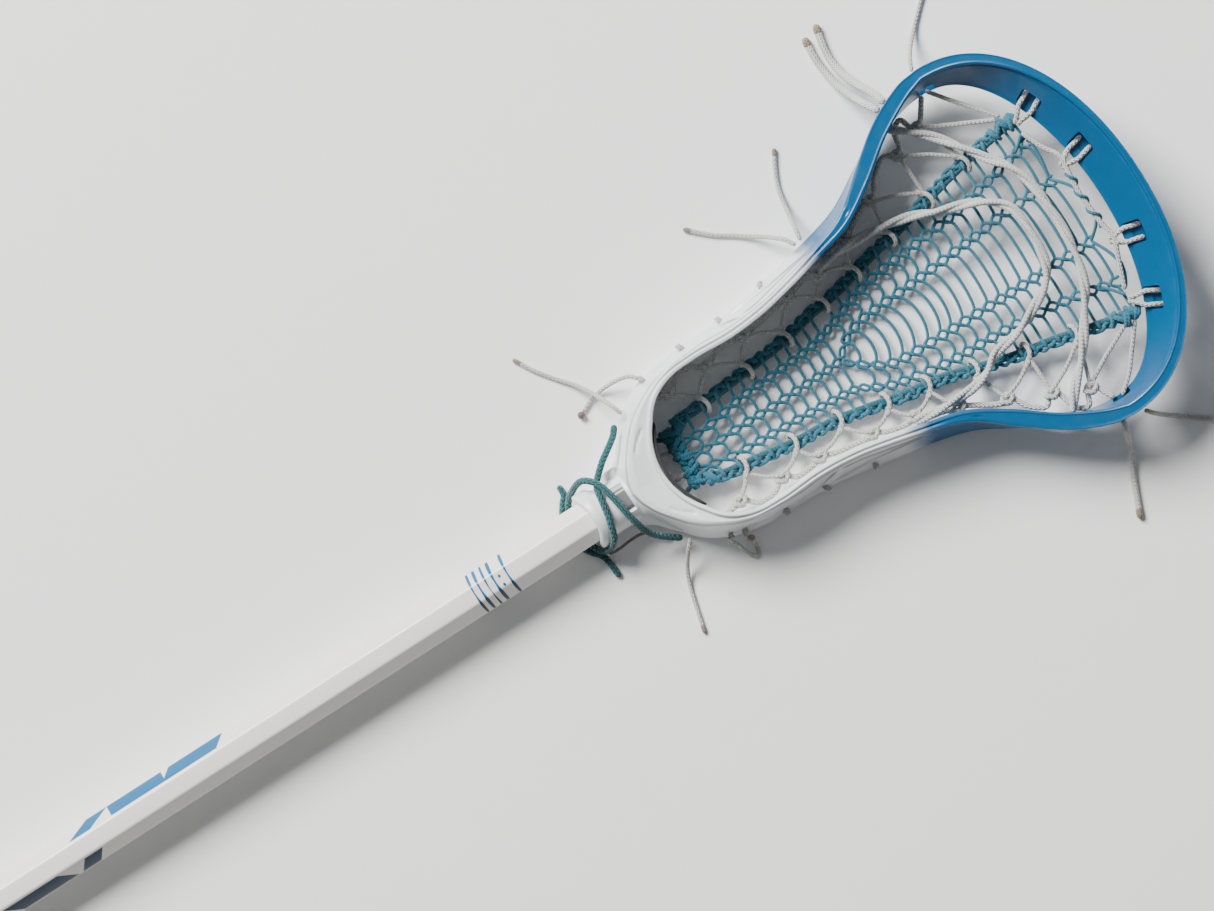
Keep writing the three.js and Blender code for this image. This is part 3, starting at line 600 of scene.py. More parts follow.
def turned_out(thing):
    """Flips a closed mesh whose volume is negative."""
    mesh = thing.data
    mesh.calc_loop_triangles()
    tri = np.empty(len(mesh.loop_triangles) * 3, int)
    mesh.loop_triangles.foreach_get("vertices", tri)
    p = np.empty(len(mesh.vertices) * 3)
    mesh.vertices.foreach_get("co", p)
    p = p.reshape(-1, 3)
    a, b, c = p[tri[0::3]], p[tri[1::3]], p[tri[2::3]]
    if np.einsum("ij,ij->i", a, np.cross(b, c)).sum() < 0:
        mesh.flip_normals()
    return thing


def rubber_material(name, colour, scale, roughness=0.8):
    """Dull rubber or foam: fine pores in the bump and a faint dusty unevenness."""
    material, tree, shader = new_material(name, Roughness=roughness, Sheen_Weight=0.15)
    coords = object_coords(tree)
    dusty = tuple(c * 2.2 + 0.01 for c in colour)
    feed(tree, shader, Base_Color=mix_colour(tree, noise(tree, coords, 70.0, 5.0), colour, dusty),
         Normal=bumped(tree, noise(tree, coords, scale, 4.0), 0.5, 0.0003))
    return material


CAP_RUBBER = rubber_material("cap_rubber", (0.018, 0.019, 0.021), 900.0)
fit(turned_out(make_end_cap()), CAP_RUBBER, "cap_rubber", "cap", "end_cap")

# ---------------------------------------------------------------------------------------------
# Head screw: a zinc-plated pan-head screw with a cross recess, through the boss on the left of
# the socket into the shaft.
SCREW_AT = (-22, 14.2)
SCREW_SIDES = 48
SCREW_RECESS = 1.0


def make_screw():
    """Rings of radius r at distance h out along Y; the head's inner rings sink in a cross."""
    profile = [(0.0, 2.2), (0.5, 2.2), (1.0, 2.2), (1.6, 2.12), (2.2, 1.95), (2.8, 1.5), (3.1, 1.0),
               (3.2, 0.5), (3.2, 0.0), (3.0, -0.1), (1.9, -0.1)]
    for i, down in enumerate(np.arange(0, 7.6, 0.25)):
        crest = 0.33 * (i % 4 == 1) + 0.1 * (i % 4 in (0, 2))
        profile.append((1.55 + crest, -0.3 - down))
    profile += [(1.0, -8.8), (0.4, -9.6), (0.0, -9.9)]
    r, h = np.array(profile).T
    angle = np.arange(SCREW_SIDES) / SCREW_SIDES * 2 * math.pi
    arms = np.abs(np.sin(2 * angle)) < 0.45
    inner = (h > 1.9) & (r < 1.7) & (r > 0)
    recess = np.where(inner[:, None] & arms[None, :], SCREW_RECESS, 0.0)
    x = SCREW_AT[0] + r[:, None] * np.cos(angle)
    y = (SCREW_AT[1] + h)[:, None] - recess
    z = AXIS_HEIGHT + r[:, None] * np.sin(angle)
    grid = place(np.stack([x, y, z], -1))
    poles = [grid[0, :1] - [0, SCREW_RECESS / 1000, 0], grid[-1, :1]]
    verts = np.vstack([grid[1:-1].reshape(-1, 3), *poles])
    screw = turned_out(mesh_object("zinc_screw", verts, capped_rings(len(r) - 2, SCREW_SIDES)))
    screw.data.set_sharp_from_angle(angle=math.radians(30))
    return screw


def zinc_material():
    """Cloudy grey metal."""
    material, tree, shader = new_material("zinc_plate", Metallic=1.0, Roughness=0.35)
    cloud = noise(tree, object_coords(tree), 900.0, 4.0)
    feed(tree, shader, Base_Color=mix_colour(tree, cloud, (0.42, 0.42, 0.43), (0.66, 0.66, 0.67)),
         Roughness=remap(tree, cloud, 0.0, 1.0, 0.22, 0.5))
    return material


fit(make_screw(), zinc_material(), "screw_steel", "screw", "head_screw")

# ---------------------------------------------------------------------------------------------
# Head frame: one piece of moulded nylon, white dyed blue from the shoulders to the scoop. A ring
# of wall runs from the throat's plate along both sides and round the scoop: lip on top, rail at
# the bottom, thin web between. The socket for the shaft is moulded on at the back.
LIP_BEAD = 2.0


def curve_through(pairs):
    """A value along a smooth line: between two pairs, the cubic whose end slopes are the chords
    of the neighbours."""
    at, value = np.array(pairs, float).T
    before, after = np.maximum(np.arange(len(at)) - 1, 0), np.minimum(np.arange(len(at)) + 1, len(at) - 1)
    slope = (value[after] - value[before]) / (at[after] - at[before])

    def read(x):
        x = np.clip(x, at[0], at[-1])
        i = np.clip(np.searchsorted(at, x, side="right") - 1, 0, len(at) - 2)
        span = at[i + 1] - at[i]
        t = (x - at[i]) / span
        rise = t * t * (3 - 2 * t)
        bend = span * t * (1 - t) * ((1 - t) * slope[i] - t * slope[i + 1])
        return value[i] * (1 - rise) + value[i + 1] * rise + bend
    return read


LIP_INNER = curve_through([
    (39.5, 40.8), (50, 41), (70, 40), (90, 41.6), (110, 45.5), (130, 50.4), (150, 55.8), (170, 68), (190, 83),
    (210, 94), (222, 98.2)])
LIP_OUTER = curve_through([
    (39.5, 44.9), (50, 45.2), (70, 44.4), (90, 46), (110, 50), (130, 55.3), (150, 63), (170, 79), (190, 93.8),
    (210, 103), (222, 104.7)])
RAIL_OUTER = curve_through([
    (39.5, 50.7), (50, 51.1), (70, 51.8), (90, 54.7), (110, 58.5), (130, 62.3), (150, 68.3), (170, 79.8),
    (190, 90.5), (210, 96.3), (222, 97)])
RIM_HEIGHT = curve_through([(39.5, 37.1), (90, 37), (150, 35.5), (200, 37), (250, 43.5), (291.2, 49)])
RAIL_HEIGHT = curve_through([(120, 0), (170, 3), (210, 9), (250, 17), (291.2, 25)])
THROAT_CENTRE = 39.5
SCOOP_CENTRE = 222
SCOOP_LIP_OUTER = (69.2, 104.7, 2.12)
SCOOP_LIP_INNER = (65.6, 98.2, 2.12)
SCOOP_RAIL_INNER = (46.3, 91.7, 2.0)
RAIL_WIDTH = 5
# How far round the scoop its slots are, in degrees from its side.
LOW_SLOT = 51.5
HIGH_SLOT = 74.5
SOCKET_FLATS = 22.8
SOCKET_CORNER = 2.6


def smooth(low, high, value):
    """0 below low, 1 above high, and the cubic 3 t t - 2 t t t between."""
    t = np.clip((value - low) / (high - low), 0, 1)
    return t * t * (3 - 2 * t)


def scoop_curve(shape, angle):
    """A super-ellipse about the scoop's centre, read from its side (0) to its tip (a right angle)."""
    reach, half, power = shape
    return np.stack([SCOOP_CENTRE + reach * np.sin(angle) ** (2 / power),
                     half * np.cos(angle) ** (2 / power)], -1)


def throat_curve(pairs, angle):
    """Points about the throat's centre at a distance that changes with the angle from the shaft."""
    reach = curve_through(pairs)(np.degrees(angle))
    return np.stack([THROAT_CENTRE - reach * np.cos(angle), reach * np.sin(angle)], -1)


def wall_stations():
    """Plan curves and heights of the left half of the wall, from the throat to the scoop's tip, then
    three shares: of the throat's solid plate, of the scoop, and of the step beside the lip."""
    fan = np.radians(np.linspace(0, 90, 61)[:-1])
    mouth = throat_curve([
        (0, 37), (20, 37.1), (42, 37.5), (50, 38.5), (60, 39.6), (70, 40.2), (90, 40.8)], fan)
    crest = throat_curve([
        (0, 55.5), (13, 52.9), (26, 49.6), (35, 48.2), (43, 47.1), (56, 45.6), (70, 44.9), (90, 44.9)], fan)
    skirt = throat_curve([
        (0, 65.5), (11, 66.6), (16, 61.9), (20.6, 58.2), (27.7, 55.9), (35, 54.3), (43, 54.1),
        (50, 53.6), (56, 52.8), (62, 52.4), (68, 51.8), (79, 50.9), (90, 50.7)], fan)
    side = np.arange(THROAT_CENTRE, SCOOP_CENTRE, 1.75)
    line = lambda curve: np.stack([side, curve(side)], -1)
    arc = np.radians(np.linspace(0, 90, 66))
    scoop_rail = scoop_curve(SCOOP_RAIL_INNER, arc)
    scoop_lip = scoop_curve(SCOOP_LIP_OUTER, arc)
    away = scoop_lip - scoop_rail
    away /= np.linalg.norm(away, axis=1, keepdims=True)
    inner_rail = np.stack([side, RAIL_OUTER(side) - RAIL_WIDTH], -1)
    lip_in = np.vstack([mouth, line(LIP_INNER), scoop_curve(SCOOP_LIP_INNER, arc)])
    lip_out = np.vstack([crest, line(LIP_OUTER), scoop_lip])
    rail_out = np.vstack([skirt, line(RAIL_OUTER), scoop_rail + RAIL_WIDTH * away])
    rail_in = np.vstack([mouth, inner_rail, scoop_rail])
    throat_top = curve_through([(0, 33), (30, 34.2), (60, 36.2), (90, 37.1)])(np.degrees(fan))
    throat_low = 0.3 * (1 - fan / fan[-1])
    top = np.concatenate([throat_top, RIM_HEIGHT(side), RIM_HEIGHT(scoop_lip[:, 0])])
    low = np.concatenate([throat_low, RAIL_HEIGHT(side), RAIL_HEIGHT(scoop_lip[:, 0])])
    solid = np.concatenate([1 - smooth(55, 88, np.degrees(fan)), np.zeros(len(side) + len(arc))])
    scoop = np.concatenate([np.zeros(len(fan)), smooth(150, 208, side), np.ones(len(arc))])
    bead = np.concatenate([np.ones(len(fan)), 1 - smooth(116, 146, side), np.zeros(len(arc))])
    return lip_in, lip_out, rail_out, rail_in, top, low, solid, scoop, bead


def wall_corners():
    """Corners of every slice of the wall, each a plan point between two of the curves, a height and
    a radius."""
    lip_in, lip_out, rail_out, rail_in, top, low, solid, scoop, bead = wall_stations()
    upright = lambda values: np.asarray(values, float)[:, None]
    mix = lambda a, b, t: a + (b - a) * (upright(t) if np.ndim(t) else t)
    toward = lambda a, b: (b - a) / np.linalg.norm(b - a, axis=1, keepdims=True)
    step = lambda a, b, distance: a + toward(a, b) * upright(np.broadcast_to(distance, len(a)))
    lift = 2.0 * solid
    solid_in = lambda plan: mix(plan, lip_in, solid)
    web_low = mix(mix(rail_out, rail_in, 0.58), mix(lip_in, rail_in, 0.9), scoop)
    web_top = mix(step(lip_out, lip_in, 2.6), mix(lip_in, rail_in, 0.07), scoop)
    side = 1 - scoop
    corners = [
        (lip_in, top + lift - 0.5, 0.7),
        (step(lip_in, lip_out, LIP_BEAD - 0.9 * scoop), top + lift, 0.5),
        (step(lip_in, lip_out, LIP_BEAD + 0.5 - 0.9 * scoop), top + lift - 0.2 - 1.4 * bead, 0.25),
        (step(lip_in, lip_out, LIP_BEAD + 0.9 - 0.9 * scoop), top + 0.6 * lift - 0.3 - 1.3 * bead, 0.3),
        (mix(lip_in, lip_out, 0.82), top + 0.2 * lift - 0.3, 0.6),
        (lip_out, top - 0.7 * side, 0.9),
        (mix(lip_out, rail_out, 0.12 + 0.1 * solid), top - 4.5 - 7.5 * side * (1 - 0.75 * solid),
         2.0 + 1.5 * solid),
        (mix(lip_out, rail_out, 0.72 + 0.25 * scoop), low + 10.5 - 4 * scoop + 2 * solid, 1.6 + 4 * solid),
        (step(rail_out, rail_in + 1e-6, 0.9 * side * (1 - solid)), low + 8.2 - 2 * scoop, 0.6),
        (rail_out, low + 6.2 - scoop, 1.6),
        (step(rail_out, rail_in + 1e-6, 0.8 * (1 - solid)), low, 1.2),
        (rail_in, low, 1.0),
        (rail_in, low + 5, 0.9),
        (solid_in(web_low), low + 6.4 - 0.6 * scoop, 1.2),
        (solid_in(web_top), top - 5.4 + 1.6 * scoop, 1.4),
        (lip_in, top - 3.6, 0.9),
    ]
    points = np.stack([np.column_stack([plan, height]) for plan, height, _ in corners], 1)
    return points, np.stack([np.broadcast_to(radius, len(points)) for _, _, radius in corners], 1)


def rounded_sections(corners, radii, steps=6):
    """Each corner becomes a quadratic arc between points set back from it along both its edges, and
    the straight between two arcs is divided evenly."""
    back, ahead = np.roll(corners, 1, 1) - corners, np.roll(corners, -1, 1) - corners
    back_length = np.linalg.norm(back, axis=2, keepdims=True) + 1e-9
    ahead_length = np.linalg.norm(ahead, axis=2, keepdims=True) + 1e-9
    start = corners + back * np.minimum(radii[:, :, None] / back_length, 0.46)
    stop = corners + ahead * np.minimum(radii[:, :, None] / ahead_length, 0.46)
    t = np.linspace(0, 1, steps)[None, None, :, None]
    arc = (1 - t) ** 2 * start[:, :, None] + 2 * t * (1 - t) * corners[:, :, None] + t ** 2 * stop[:, :, None]
    f = (np.arange(steps) + 1)[None, None, :, None] / (steps + 1)
    span = stop[:, :, None] * (1 - f) + np.roll(start, -1, 1)[:, :, None] * f
    return np.concatenate([arc, span], 2).reshape(len(corners), -1, 3)


# A groove: its depth, its width and its line on the left half of the plan.
GROOVES = [
    (1.3, 0.9, [(20, 44.3), (25, 46.6), (33, 48.6), (44, 49.6), (56, 49.9), (65, 49.6), (72, 48.2),
                (81, 46.0)]),
    (1.4, 0.8, [(75, 50.6), (90, 51.4), (105, 52.9), (118, 54.4), (128, 55.6)]),
    (-0.9, 1.3, [(66, 51.6), (75, 48.9), (84, 47.6), (98, 49.2), (112, 52), (124, 54.4)]),
    (0.9, 0.8, [(-4, 17.2), (0, 21.5), (4.5, 25)]),
    (1.0, 0.7, [(153.5, 62), (154.5, 66), (156, 70.5)]),
]


def carve(grid, reach=8):
    """Pushes the skin in along shallow moulded grooves: a depth times exp(-(distance / width)^2) off
    the groove's plan line, on faces that look up. A negative depth is a ridge."""
    along = np.roll(grid, -1, 0) - np.roll(grid, 1, 0)
    across = np.roll(grid, -1, 1) - np.roll(grid, 1, 1)
    normal = np.cross(along, across)
    normal /= np.linalg.norm(normal, axis=2, keepdims=True) + 1e-12
    if (normal[:, :, 2] * (grid[:, :, 2] - grid[:, :, 2].mean())).sum() < 0:
        normal = -normal
    plan = np.stack([grid[:, :, 0], np.abs(grid[:, :, 1])], -1)
    depth = np.zeros(grid.shape[:2])
    for amount, width, line in GROOVES:
        path = smooth_path([(x, y, 0) for x, y in line], 0.5)[:, :2]
        near = (plan[:, :, 0] > path[:, 0].min() - reach) & (plan[:, :, 0] < path[:, 0].max() + reach)
        gap = np.linalg.norm(plan[near][:, None, :] - path[None, :, :], axis=2).min(1)
        depth[near] += amount * np.exp(-(gap / width) ** 2)
    face_up = np.clip(normal[:, :, 2] * 4 - 0.2, 0, 1)
    return grid - normal * (depth * face_up)[:, :, None]


def make_wall():
    """The left half's slices from the throat to the tip, then the same ones mirrored and reversed."""
    corners, radii = wall_corners()
    half = rounded_sections(corners, radii)
    other = half[-2:0:-1] * [1, -1, 1]
    return closed_grid("moulded_head", place(carve(np.vstack([half, other]))), 40)


def make_socket(sides=96, hollow=5.0):
    """Rings about the shaft's axis: a flared lip that stands proud at its sides and is cut back
    at the top and bottom, then a plain neck. Radius and back edge both follow the angle."""
    angle = np.arange(sides) / sides * 2 * math.pi
    ear = np.abs(np.cos(angle)) ** 3
    back = -41.2 - 3.3 * ear
    lip = 14.4 + 1.2 * ear
    rows = [(back + 2.5, hollow), (back, hollow), (back, lip - 1.0), (back + 0.4, lip - 0.35)]
    rows += [(back + 1.1, lip)] + [(back + t * (-37.2 - back), lip) for t in (0.4, 0.7, 1.0)]
    rows += [(-36.2, lip - 0.35), (-35.2, 13.75 + 0.2 * ear), (-34.0, 13.35)]
    rows += [(x, 13.3) for x in (-32, -28, -24, -20, -15.2)] + [(-15.2, hollow)]
    rings = [np.stack([np.broadcast_to(x, sides), r * np.cos(angle), AXIS_HEIGHT + r * np.sin(angle)], -1)
             for x, r in rows]
    return closed_grid("socket", place(np.stack(rings)))


def flat_ended(rows, columns):
    """Quads between rings of points, and one flat face at each end."""
    return ring_faces(rows, columns).tolist() + [
        list(range(columns))[::-1], list(range((rows - 1) * columns, rows * columns))]


def prism(name, rings):
    """A closed solid through rings of points, flat at both ends."""
    return turned_out(mesh_object(
        name, place(np.vstack(rings)), flat_ended(len(rings), len(rings[0])), smooth=False))


def rounded_quarters(width, height, corner):
    """Four quarter arcs round an upright rectangle, each set in from its corner by its radius."""
    sweep = np.linspace(0, math.pi / 2, 5)
    arcs = []
    for quarter, (across, up) in enumerate(((1, 1), (-1, 1), (-1, -1), (1, -1))):
        angle = math.pi / 2 * quarter + sweep
        arcs.append(np.stack([across * (width / 2 - corner) + corner * np.cos(angle),
                              up * (height / 2 - corner) + corner * np.sin(angle)], -1))
    return np.vstack(arcs)


def box(size, centre, turn=0.0, corner=1.2):
    """A bar with a rounded rectangle for its slice, turned in plan about its centre."""
    length, width, height = size
    slice_yz = rounded_quarters(width, height, corner)
    rings = []
    for x in (-length / 2, length / 2):
        y, z = slice_yz.T
        rings.append(np.stack([x * math.cos(turn) - y * math.sin(turn),
                               x * math.sin(turn) + y * math.cos(turn), z], -1) + centre)
    return prism("box", rings)


def shaft_room(start, stop):
    """The room that the shaft takes in the socket, 0.6 mm wider than it."""
    y, z = octagon_ring(SOCKET_FLATS, SOCKET_CORNER).T
    return prism("shaft_room", [
        np.stack([np.full(len(y), x), y, z + AXIS_HEIGHT], -1) for x in (start, stop)])


def post(radius, x, start, stop, sides=40, chamfer=0.6):
    """A round post along Y at the height of the shaft's axis."""
    angle = np.arange(sides) / sides * 2 * math.pi
    return prism("post", [
        np.stack([x + r * np.cos(angle), np.full(sides, y), AXIS_HEIGHT + r * np.sin(angle)], -1)
        for y, r in ((start, radius), (stop - chamfer, radius), (stop, radius - chamfer))])


def combine(thing, operation, others):
    """Joins or cuts the other solids into a piece, keeps the result as its mesh and drops the others."""
    for other in others:
        change = thing.modifiers.new(operation, "BOOLEAN")
        change.operation = operation
        change.solver = "MANIFOLD"
        change.object = other
    result = bpy.data.meshes.new_from_object(thing.evaluated_get(bpy.context.evaluated_depsgraph_get()))
    thing.modifiers.clear()
    thing.data = result
    for other in others:
        bpy.data.objects.remove(other)
    return thing


def slots_and_shelves():
    """Horizontal slots through the scoop's wall above its rail, and one at each corner. Outside each
    of the scoop's slots the rail grows a shelf that its strings pass over."""
    slots, shelves = [], []
    for side in (1, -1):
        for degrees, wide, tall in ((0, 10.4, 7.0), (LOW_SLOT, 12.0, 8.4), (HIGH_SLOT, 12.0, 8.4)):
            angle = math.radians(degrees)
            rail, lip = scoop_curve(SCOOP_RAIL_INNER, angle), scoop_curve(SCOOP_LIP_OUTER, angle)
            away = (lip - rail) / np.linalg.norm(lip - rail)
            low, turn = float(RAIL_HEIGHT(lip[0])), math.atan2(side * away[1], away[0])
            x, y = rail + away * 13
            slots.append(box((37, wide, tall), (x, side * y, low + 5.4 + tall / 2), turn))
            if degrees:
                x, y = rail + away * 9.2
                shelves.append(box((11.6, wide + 5, 3.4), (x, side * y, low + 2.9), turn))
    return slots, shelves


# A moulded groove's painted shade line: its half width and its line on either half of the plan.
GROOVE_SHADE_LINES = [
    (0.42, [(24, 46.4), (33, 48.4), (44, 49.3), (56, 49.6), (65, 49.2), (72, 47.9), (80, 46.6)]),
    (0.45, [(76, 50.6), (90, 51.4), (105, 53.2), (118, 55.0), (128, 56.4)]),
    (0.35, [(80, 47.2), (90, 48.3), (103, 51.0), (116, 53.8), (127, 56.0)]),
    (0.30, [(31, 43.9), (44, 45.4), (58, 45.9), (70, 45.2), (90, 46.6), (110, 50.7), (128, 55.2)]),
]
OUTSIDE = "outside"
DYE_FROM = 0.114
DYE_TO = 0.131
# The painted shade line of the crease outside the throat's crest: degrees from the shaft, and distance from
# the throat's centre.
CREST_SHADE_LINE = [
    (-4, 56.3), (0, 56.3), (13, 53.7), (26, 50.4), (35, 49.0), (43, 47.9), (56, 46.3), (70, 45.6), (82, 45.4)]


def line_mask(tree, along, across, width, pairs):
    """A mask that is 1 near the curve across = f(along), soft to both sides and at both ends."""
    at, value = np.array(pairs, float).T
    low, span = value.min() - 1, value.max() - value.min() + 2
    share = remap(tree, along, at[0], at[-1])
    curve = node(tree, "ShaderNodeFloatCurve", {"Value": share})
    points = curve.mapping.curves[0].points
    for _ in range(len(at) - 2):
        points.new(0.5, 0.5)
    for point, place_at in zip(points, zip((at - at[0]) / (at[-1] - at[0]), (value - low) / span)):
        point.location = place_at
    curve.mapping.update()
    line = maths(tree, "MULTIPLY_ADD", curve.outputs[0], span, low)
    off = maths(tree, "ABSOLUTE", maths(tree, "SUBTRACT", across, line))
    near = remap(tree, off, width + 0.3, width - 0.2)
    return maths(tree, "MULTIPLY", near, between(tree, share, 0.04, 0.96, 0.04))


def groove_lines_and_shade(tree, split, x):
    """A mask of the fine grooves moulded in the outside of the wall and of the crease outside the throat
    plate's crest: it dents the bump and marks where their shade is painted into the colour.
    """
    along, y = maths(tree, "MULTIPLY", x, 1000.0), maths(tree, "MULTIPLY", split.outputs[1], 1000.0)
    across = maths(tree, "ABSOLUTE", y)
    behind = maths(tree, "SUBTRACT", THROAT_CENTRE, along)
    squares = [maths(tree, "MULTIPLY", value, value) for value in (behind, y)]
    reach = maths(tree, "SQRT", maths(tree, "ADD", *squares))
    angle = maths(tree, "DEGREES", maths(tree, "ARCTAN2", across, behind))
    # The crease's shade, painted as a dark line.
    crest = maths(tree, "MULTIPLY", line_mask(tree, angle, reach, 0.34, CREST_SHADE_LINE), 0.8)
    total = 0.0
    for width, pairs in GROOVE_SHADE_LINES:
        total = maths(tree, "MAXIMUM", total, line_mask(tree, along, across, width, pairs))
    outside = node(tree, "ShaderNodeAttribute", attribute_name=OUTSIDE).outputs["Fac"]
    total = maths(tree, "MAXIMUM", crest, maths(tree, "MULTIPLY", total, outside))
    return maths(tree, "MULTIPLY", total, between(tree, split.outputs[2], 0.012, 0.06, 0.004))


def mark_outside(data):
    """Stores on each vertex how far its normal turns away from the head's middle line: 0 to 1."""
    normals, points = np.empty(len(data.vertices) * 3), np.empty(len(data.vertices) * 3)
    data.vertices.foreach_get("normal", normals)
    data.vertices.foreach_get("co", points)
    turned = normals.reshape(-1, 3)[:, 1] * np.sign(points.reshape(-1, 3)[:, 1])
    share = np.clip(turned * 4 + 0.2, 0, 1)
    data.attributes.new(OUTSIDE, "FLOAT", "POINT").data.foreach_set("value", share)


def head_material():
    """Dyed nylon: white, then a soft fade to bright blue across the shoulders, with moulded grooves whose
    shade is painted in as dark grey lines, a faint grain and cloudy gloss."""
    material, tree, shader = new_material("head_nylon", Roughness=0.34, Coat_Weight=0.2, Coat_Roughness=0.1)
    coords = object_coords(tree)
    split = node(tree, "ShaderNodeSeparateXYZ", {0: coords})
    x = maths(tree, "SUBTRACT", split.outputs[0], HEAD_X)
    drift = maths(tree, "SUBTRACT", noise(tree, coords, 60.0, 3.0), 0.5)
    fade = node(tree, "ShaderNodeMapRange", {
        "Value": maths(tree, "MULTIPLY_ADD", drift, 0.012, x), "From Min": DYE_FROM, "From Max": DYE_TO},
                interpolation_type="SMOOTHSTEP").outputs[0]
    grain = noise(tree, coords, 900.0, 3.0)
    white = mix_colour(tree, grain, (0.72, 0.745, 0.76), (0.80, 0.82, 0.83))
    blue = mix_colour(tree, grain, (0.0, 0.080, 0.205), (0.0, 0.098, 0.245))
    lines = groove_lines_and_shade(tree, split, x)
    # Painted shade: the grooves and the crease darken the colour towards dark grey.
    painted_groove_shade = maths(tree, "MULTIPLY", lines, 0.72)
    skin = mix_colour(tree, painted_groove_shade, mix_colour(tree, fade, white, blue), (0.13, 0.135, 0.14))
    gloss = noise(tree, coords, 140.0, 6.0)
    relief = maths(tree, "SUBTRACT", maths(tree, "MULTIPLY", grain, 0.12), lines)
    feed(tree, shader, Base_Color=skin, Roughness=remap(tree, gloss, 0.3, 0.75, 0.28, 0.44),
         Normal=bumped(tree, relief, 0.9, 0.0004))
    return material


head = make_wall()
slots, shelves = slots_and_shelves()
boss = post(5, SCREW_AT[0], 8, SCREW_AT[1] + 3)
combine(head, "UNION", [make_socket(), boss, *shelves])
window = box((6, 16.5, 9), (-22, 0.5, 29.5))
screw_hole = post(2.2, SCREW_AT[0], 6, SCREW_AT[1] + 8)
counterbore = post(3.5, SCREW_AT[0], SCREW_AT[1] - 0.3, SCREW_AT[1] + 10)
combine(head, "DIFFERENCE", [shaft_room(-50, -15.5), window, screw_hole, counterbore, *slots])
head.data.polygons.foreach_set("use_smooth", [True] * len(head.data.polygons))
head.data.set_sharp_from_angle(angle=math.radians(42))
head.data.materials.clear()
mark_outside(head.data)
fit(head, head_material(), "head_plastic", "stick", "head_frame")

# ---------------------------------------------------------------------------------------------
# Ball stop: a thin strip of black foam stuck to the throat's front wall. It follows the wall's arc
# and has rounded edges and pinched ends.
THROAT_FACE = 2.5
THROAT_BOW = 0.0135
STOP_GAP = 0.5
STOP_THICK = 1.8
STOP_MIDDLE = 23.5
STOP_TALL = 21.4
STOP_HALF_LENGTH = 25
STOP_CORNER = 0.7


def make_ball_stop():
    """A rounded upright rectangle of half depth d and height z, carried along the throat's arc
    x = front + bow y y and narrowed towards both ends."""
    y = np.linspace(-STOP_HALF_LENGTH, STOP_HALF_LENGTH, 90)
    ring = rounded_quarters(STOP_THICK, STOP_TALL, STOP_CORNER)
    d, z = ring[None, :, 0], ring[None, :, 1]
    pinch = np.sqrt(np.clip(1 - (np.abs(y) / (STOP_HALF_LENGTH + 0.2)) ** 24, 0.05, 1))[:, None]
    slope = 2 * THROAT_BOW * y[:, None]
    lean = np.hypot(1, slope)
    line = THROAT_FACE + STOP_GAP + STOP_THICK / 2 + THROAT_BOW * y[:, None] ** 2
    grid = place(np.stack([line + d * pinch / lean, y[:, None] - d * slope / lean * pinch,
                           STOP_MIDDLE + z * pinch], -1))
    faces = flat_ended(*grid.shape[:2])
    strip = turned_out(mesh_object("foam_ball_stop", grid.reshape(-1, 3), faces))
    strip.data.set_sharp_from_angle(angle=math.radians(50))
    return strip


STOP_FOAM = rubber_material("stop_foam", (0.012, 0.012, 0.013), 1400.0, 0.9)
fit(make_ball_stop(), STOP_FOAM, "stop_foam", "stick", "ball_stop")

# ---------------------------------------------------------------------------------------------
# Runner: the woven floor of the pocket. Two thick edge cords, each a braided core with two looser
# strands twisted along its outer side, chains of two crossing strands along its length, and thin
# columns knotted across them all from edge to edge. Columns bow towards the scoop in its middle.
# The second colour of each is the painted shade in its braid's creases.
TEAL = string_material("teal_braid", (0.009, 0.205, 0.32), (0.002, 0.065, 0.105), 8.0, 1.5)
CORE_TEAL = string_material("teal_core", (0.004, 0.135, 0.19), (0.001, 0.04, 0.06), 10.0, 1.6)
NET_HEIGHT = curve_through([
    (0, 12), (20, 9), (60, 5.5), (120, 4.5), (170, 6), (210, 12), (250, 22.5), (272, 30)])
LEFT_EDGE = curve_through([
    (22, 17.8), (30, 18.5), (50, 20), (70, 22), (90, 24), (110, 28), (130, 31), (150, 36), (170, 40),
    (190, 44.5), (210, 49.5), (230, 53), (252, 56.5)])
RIGHT_EDGE = curve_through([
    (22, -14.5), (30, -17), (50, -20), (70, -23), (90, -24.5), (110, -28.5), (130, -33), (150, -36),
    (170, -42), (190, -47), (210, -51), (230, -56), (252, -60.5)])
OUTER_LEFT = curve_through([
    (22, 8.2), (31.5, 8), (47.5, 10.2), (60, 12), (80, 12.8), (100, 14), (110, 16), (120, 19), (130, 22.5),
    (140, 25.5), (150, 27.5), (165, 29), (180, 30), (200, 32), (220, 36), (240, 40), (252, 43)])
OUTER_RIGHT = curve_through([
    (22, -8.5), (40, -11.5), (60, -12.8), (80, -14), (100, -15.5), (110, -17), (118, -21), (125, -24.5),
    (140, -28), (150, -30), (165, -31.5), (180, -32), (200, -33.5), (220, -36), (240, -40), (252, -43)])
INNER_LEFT = curve_through([
    (22, -0.8), (108, -0.4), (113, 2.5), (120, 8), (130, 11.5), (140, 12.5), (150, 12.8), (160, 13.3),
    (170, 14), (185, 15), (200, 16), (220, 18), (252, 19)])
INNER_RIGHT = curve_through([
    (22, -0.8), (108, -0.9), (113, -3), (118, -7), (125, -12), (132, -15.5), (145, -17), (170, -17.5),
    (200, -18), (252, -18)])
THROAT_COLUMNS = [27, 36.5, 45.5, 53.5, 60.5, 68, 75.5, 83, 89.5, 96, 102.3, 108.5]
SCOOP_COLUMNS = [119, 126, 132.5, 139.5, 146.5, 154.5, 162, 168.3, 175.3, 182.5, 190, 197, 203, 210, 217,
                 223.5, 231, 238, 244.5, 250.5]
COLUMNS = np.array([22.5] + THROAT_COLUMNS + [113.5] + SCOOP_COLUMNS)
